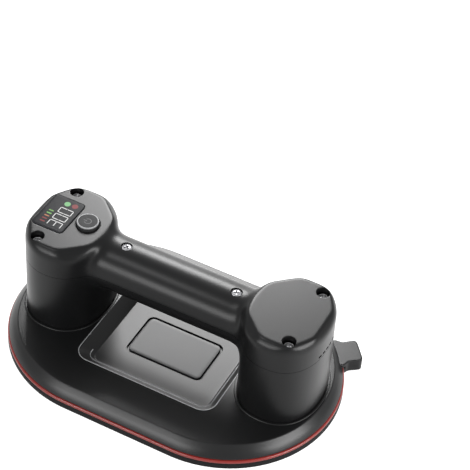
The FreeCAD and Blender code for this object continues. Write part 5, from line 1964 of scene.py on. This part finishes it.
@dataclass
class DisplayTop:
    """Dark window with its lit digits, bars and lamps, and the push button beside it."""

    tower: TowerShape
    top: TopLayout
    finishes: Finishes
    window_edge: float = 0.45
    mark_height: float = 0.06
    mark_root: float = 0.05
    reading: Tuple[int, ...] = (3, 0, 0)
    digit_x: Pair = (-108.3, -97.2)
    digit_y: Tuple[float, ...] = (-11.4, -3.5, 4.4)
    digit_width: float = 5.6
    stroke: float = 0.62
    stroke_gap: float = 0.12
    bar_x: Pair = (-115.2, -111.0)
    bar_y: Tuple[float, ...] = (0.2, -3.1, -6.4, -9.7, -13.0)
    bar_width: float = 1.15
    bar_corner: float = 0.35
    bar_finishes: Tuple[str, ...] = ("mark_pale", "mark_green", "mark_peach", "mark_red",
                                     "mark_red")
    lamp_radius: float = 2.5
    green_lamp: Pair = (-106.0, 12.5)
    red_lamp: Pair = (-99.5, 13.0)
    button_radius: float = 8.6
    disc_radius: float = 7.35
    button_drop: float = 0.9
    rim_drop: float = 0.9
    disc_drop: float = 0.25
    disc_hollow: float = 0.2
    disc_land: float = 2.5
    disc_edge: float = 0.25
    step_edge: float = 0.05
    mark_sink: float = 0.12
    rim_edges: Pair = (0.5, 0.25)
    rim_gap: float = 0.15
    power_ring: Pair = (2.45, 2.9)
    power_gap: float = 76.0
    power_stroke_half: Pair = (1.5, 0.23)
    power_stroke_drop: float = 2.3
    power_corner: float = 0.2
    power_height: float = 0.08
    bezel_radius: float = 9.75
    bezel_edges: Pair = (0.3, 0.4)

    def window(self) -> Piece:
        """Window with softly rounded edges.

        Returns:
            The window.
        """
        x = -(self.tower.axis_x + self.top.window_u)
        low, high = low_of("display_window").z, high_of("display_window").z
        line = rounded_path(((0.0, low, 0.0), (0.0, high, self.window_edge),
                             (2.0, high, 0.0)), steps=5)
        outline = inset_rectangle(self.top.window_half, self.top.window_corner, x, least=0.6)
        return ring_solid("window_lens", rings_along(outline, line))

    def mark(self, outline: Outline) -> Piece:
        """Thin lit patch on the window."""
        return self.patch(outline, high_of("display_window").z, self.mark_height)

    def patch(self, outline: Outline, z: float, height: float) -> Piece:
        """Thin patch that stands a little above a face."""
        return ring_solid("mark", [at_height(outline, z - self.mark_root),
                                   at_height(outline, z + height)])

    def bar(self, start: Pair, end: Pair) -> Piece:
        """One pointed segment of a digit between two places on the window.

        Args:
            start: its first tip.
            end: its last tip.

        Returns:
            The segment.
        """
        a, b = np.array(start), np.array(end)
        along = (b - a) / np.linalg.norm(b - a)
        across = np.array([-along[1], along[0]]) * self.stroke / 2
        point = along * self.stroke / 2
        return self.mark(np.array([a, a + point - across, b - point - across, b,
                                   b - point + across, a + point + across]))

    def digit(self, value: int, y: float) -> List[Piece]:
        """Seven-segment digit that reads from the button's side, its top away from the middle.

        Args:
            value: the digit.
            y: place of its middle.

        Returns:
            Its lit segments.
        """
        top, foot = self.digit_x
        middle = (top + foot) / 2
        left, right = y - self.digit_width / 2, y + self.digit_width / 2
        places = {"a": ((top, left), (top, right)), "d": ((foot, left), (foot, right)),
                  "g": ((middle, left), (middle, right)), "f": ((top, left), (middle, left)),
                  "b": ((top, right), (middle, right)), "e": ((middle, left), (foot, left)),
                  "c": ((middle, right), (foot, right))}
        made = []
        for name in SEGMENTS[value]:
            a, b = (np.array(p) for p in places[name])
            along = (b - a) / np.linalg.norm(b - a) * self.stroke_gap
            made.append(self.bar(tuple(a + along), tuple(b - along)))
        return made

    def build(self) -> None:
        """Builds the window, everything lit on it, and the button."""
        present(self.finishes, smooth(self.window()), "frame", "window_gloss", "display_window")
        strokes = [piece for value, y in zip(self.reading, self.digit_y)
                   for piece in self.digit(value, y)]
        self.show_marks("display_digits", strokes, "mark_white")
        left, right = self.bar_x
        for index, (y, shade) in enumerate(zip(self.bar_y, self.bar_finishes), 1):
            outline = rounded_rectangle((right - left) / 2, self.bar_width / 2,
                                        self.bar_corner, (left + right) / 2, y, steps=4)
            self.show_marks(f"level_bar_{index}", [self.mark(outline)], shade)
        for name, place, shade in (("green_lamp", self.green_lamp, "lamp_green"),
                                   ("red_lamp", self.red_lamp, "lamp_red")):
            outline = circle(self.lamp_radius, *place, count=48)
            self.show_marks(name, [self.mark(outline)], shade)
        self.build_button()

    def show_marks(self, name: str, pieces: Sequence[Piece], shade: str) -> None:
        """Joins lit patches into one named piece on the window."""
        piece = present(self.finishes, join_objects(name, pieces), "frame", shade)

    def button_circle(self, radius: float) -> Outline:
        """Circle round the button's axis."""
        return circle(radius, *self.top.button_place, count=72)

    def power_mark(self, z: float) -> Piece:
        """Fine raised power symbol: a stroke in the gap of a ring.

        Args:
            z: level of the face that it lies on.

        Returns:
            The symbol.
        """
        x, y = self.top.button_place
        half_gap, steps = self.power_gap / 2, 32
        turns = [math.radians(180 + half_gap + (360 - 2 * half_gap) * step / steps)
                 for step in range(steps + 1)]
        inner, outer = self.power_ring
        arc = [(x + r * math.cos(t), y + r * math.sin(t))
               for r, line in ((outer, turns), (inner, turns[::-1])) for t in line]
        stroke = rounded_rectangle(*self.power_stroke_half, self.power_corner,
                                   x - self.power_stroke_drop, y, steps=4)
        return join_objects("power_mark", [self.patch(np.array(outline), z, self.power_height)
                                           for outline in (arc, stroke)])

    def build_button(self) -> None:
        """Push button with its rim, disc and mark, and the ring that frames it."""
        outer, disc = self.button_radius, self.disc_radius
        low, high = low_of("button_cap").z, high_of("button_cap").z - self.button_drop
        step, disc_z = high - self.rim_drop, high - self.disc_drop
        line = rounded_path((
            (outer, low, 0.0), (outer, step, self.step_edge), (disc, step, self.step_edge),
            (disc, disc_z, self.disc_edge), (disc - self.disc_land, disc_z, 1.0),
            (2 * HAIR, disc_z - self.disc_hollow, 0.0)), steps=5)
        cap = ring_solid("push_button", rings_along(self.button_circle, line))
        present(self.finishes, smooth(cap), "button", "button_dark", "button_cap")
        inner = disc + self.rim_gap
        outer_edge, inner_edge = self.rim_edges
        line = rounded_path(((inner, step, 0.0), (outer, step, HAIR), (outer, high, outer_edge),
                             (inner, high, inner_edge), (inner, step, HAIR)), steps=5)[1:-1]
        # The rim ring's light grey finish is a painted highlight of its bevel.
        rim = ring_band("button_rim_highlight", rings_along(self.button_circle, line))
        present(self.finishes, smooth(rim), "button", "button_rim_highlight")
        symbol = self.power_mark(disc_z - self.mark_sink)
        mark = present(self.finishes, symbol, "button", "button_mark")
        low, high = low_of("button_bezel").z, high_of("button_bezel").z
        outer, bore = self.bezel_radius, self.top.button_bore
        outer_edge, inner_edge = self.bezel_edges
        line = rounded_path(((outer, low, 0.0), (outer, high, outer_edge),
                             (bore, high, inner_edge), (bore, low, 0.0)), steps=5)
        ring = ring_band("button_ring", rings_along(self.button_circle, line))
        present(self.finishes, smooth(ring), "frame", "bezel_black", "button_bezel")


# ---- Inner pieces, studio and camera ----

# The solids that show as they are, by the finish that they get.
INNER_NODES = {
    "module_white": ("display_module",),
    "board_green": ("control_board",),
    "socket_steel": ("charge_socket",),
    "cell_wrap": ("battery_cells",),
    "tray_plastic": ("battery_tray", "battery_cap"),
    "sensor_plastic": ("pressure_sensor", "tact_switch"),
    "soft_rubber": ("pump_cradle", "pump_diaphragm", "valve_seal"),
    "pump_plastic": ("pump_head", "pump_spacer", "pump_rocker", "pump_body"),
    "motor_steel": ("motor_can",),
    "magnet_dark": ("motor_magnets",),
    "rotor_steel": ("motor_rotor",),
    "bell_plastic": ("motor_bell",),
    "valve_plastic": ("check_valve",),
    "hose_silicone": ("intake_hose",),
    "filter_felt": ("intake_filter",),
    "spring_steel": ("lever_pin", "lever_spring", "button_spring", "valve_spring"),
    "stem_brass": ("valve_stem",),
    "wire_sleeve": ("wire_harness",),
    "screw_zinc": ("under_screws", "deck_screws", "board_screws", "pump_screws"),
}


@dataclass(frozen=True)
class SoftLamp:
    """One rectangular soft lamp; its lengths are in metres."""

    name: str
    place: Tuple[float, float, float]
    width: float
    height: float
    watts: float
    target: Tuple[float, float, float] = (0.0, 0.0, 0.05)

    def build(self) -> None:
        """Adds the lamp, turned towards the lifter and hidden from the camera."""
        data = bpy.data.lights.new(self.name, "AREA")
        data.shape = "RECTANGLE"
        data.size, data.size_y = self.width, self.height
        data.energy = self.watts
        lamp = bpy.data.objects.new(self.name, data)
        lamp.location = self.place
        look = Vector(self.target) - Vector(self.place)
        lamp.rotation_euler = look.to_track_quat("-Z", "Y").to_euler()
        lamp.visible_camera = False
        bpy.context.scene.collection.objects.link(lamp)


@dataclass
class Studio:
    """Plain pale floor, soft lamps and the camera; lengths are in metres."""

    lamps: Tuple[SoftLamp, ...] = (
        SoftLamp("back_softbox", (-0.30, 0.67, 0.60), 0.42, 0.36, 13.0),
        SoftLamp("low_back_softbox", (-0.39, 0.84, 0.25), 0.5, 0.3, 1.2),
        SoftLamp("front_softbox", (-0.25, -0.84, 0.38), 0.6, 0.28, 6.6),
        SoftLamp("right_strip", (0.51, -0.08, 0.19), 0.30, 0.18, 3.0),
        SoftLamp("upper_front_softbox", (-0.35, -0.36, 0.85), 0.3, 0.2, 1.7),
    )
    aim: Tuple[float, float, float] = (0.018103, 0.057823, 0.092239)
    distance: float = 1.332
    azimuth: float = 24.643208
    elevation: float = 43.656470
    roll: float = 4.421277
    lens: float = 131.27
    sensor_width: float = 36.0
    floor_size: float = 60.0
    floor_level: float = -0.00002
    floor_shade: float = 0.55
    floor_glow: float = 0.75
    room_light: float = 0.35

    def build(self) -> None:
        """Builds the floor, the lamps, the surroundings and the camera."""
        self.build_floor()
        self.build_world()
        for lamp in self.lamps:
            lamp.build()
        self.build_camera()

    def build_floor(self) -> None:
        """Pale floor that keeps the shadow and shows as white to camera and reflections."""
        half = self.floor_size / MM / 2
        corners = np.array([(-half, -half), (half, -half), (half, half), (-half, half)])
        floor = mesh_object("studio_floor", at_height(corners, self.floor_level / MM),
                            [range(len(corners))])
        recipe = Recipe("studio_floor")
        recipe.set(Roughness=0.9, Specular_IOR_Level=0.0)
        recipe.set(Base_Color=(*(self.floor_shade,) * 3, 1.0), Emission_Color=(1.0,) * 4)
        glow = recipe.nodes.new("ShaderNodeMath")
        glow.operation = "MULTIPLY"
        glow.inputs[1].default_value = self.floor_glow
        recipe.link(seen_by_view(recipe.material.node_tree), glow.inputs[0])
        recipe.link(glow.outputs[0], recipe.shader.inputs["Emission Strength"])
        floor.data.materials.append(recipe.material)

    def build_world(self) -> None:
        """Soft even surroundings, white behind the object."""
        world = bpy.data.worlds.new("studio")
        world.use_nodes = True
        bpy.context.scene.world = world
        tree = world.node_tree
        background = tree.nodes["Background"]
        background.inputs["Color"].default_value = (1, 1, 1, 1)
        level = tree.nodes.new("ShaderNodeMapRange")
        level.inputs["To Min"].default_value = self.room_light
        level.inputs["To Max"].default_value = 1.0
        tree.links.new(seen_by_view(tree), level.inputs["Value"])
        tree.links.new(level.outputs["Result"], background.inputs["Strength"])

    def build_camera(self) -> None:
        """Camera with no shift, aimed and rolled."""
        azimuth, elevation = math.radians(self.azimuth), math.radians(self.elevation)
        look = Vector((-math.sin(azimuth) * math.cos(elevation),
                       math.cos(azimuth) * math.cos(elevation), -math.sin(elevation)))
        level = look.cross(Vector((0, 0, 1))).normalized()
        rise = level.cross(look)
        roll = math.radians(self.roll)
        right = level * math.cos(roll) + rise * math.sin(roll)
        up = right.cross(look)
        data = bpy.data.cameras.new("studio_camera")
        data.lens = self.lens
        data.sensor_width = self.sensor_width
        camera = bpy.data.objects.new("studio_camera", data)
        turn = Matrix((right, up, -look)).transposed().to_4x4()
        camera.matrix_world = Matrix.Translation(
            Vector(self.aim) - look * self.distance) @ turn
        bpy.context.scene.collection.objects.link(camera)
        bpy.context.scene.camera = camera


def seen_by_view(tree: NodeTree) -> Socket:
    """Value that is 1 for the camera and for what shines or shows through, and else 0.

    Args:
        tree: the node tree that it is added to.

    Returns:
        The socket with the value.
    """
    path = tree.nodes.new("ShaderNodeLightPath")
    total = path.outputs["Is Camera Ray"]
    for label in ("Is Glossy Ray", "Is Transmission Ray"):
        add = tree.nodes.new("ShaderNodeMath")
        add.operation = "MAXIMUM"
        tree.links.new(total, add.inputs[0])
        tree.links.new(path.outputs[label], add.inputs[1])
        total = add.outputs[0]
    return total


def main() -> None:
    """Builds the lifter's looks in order."""
    logging.basicConfig(level=logging.INFO, format="%(message)s")
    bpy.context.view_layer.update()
    bpy.context.scene.view_settings.view_transform = "Standard"
    Studio().build()
    finishes = Finishes()
    tower = TowerShape()
    top = TopLayout()
    lever = ReleaseLever(finishes)
    PlateAssembly(tower, lever, finishes).build()
    Housing(tower, top, finishes).build()
    DisplayTop(tower, top, finishes).build()
    lever.build()
    for finish, nodes in INNER_NODES.items():
        for node in nodes:
            finishes.dress_node(node, finish)
            LOG.info("%s: %s", node, finish)


if __name__ == "__main__":
    main()
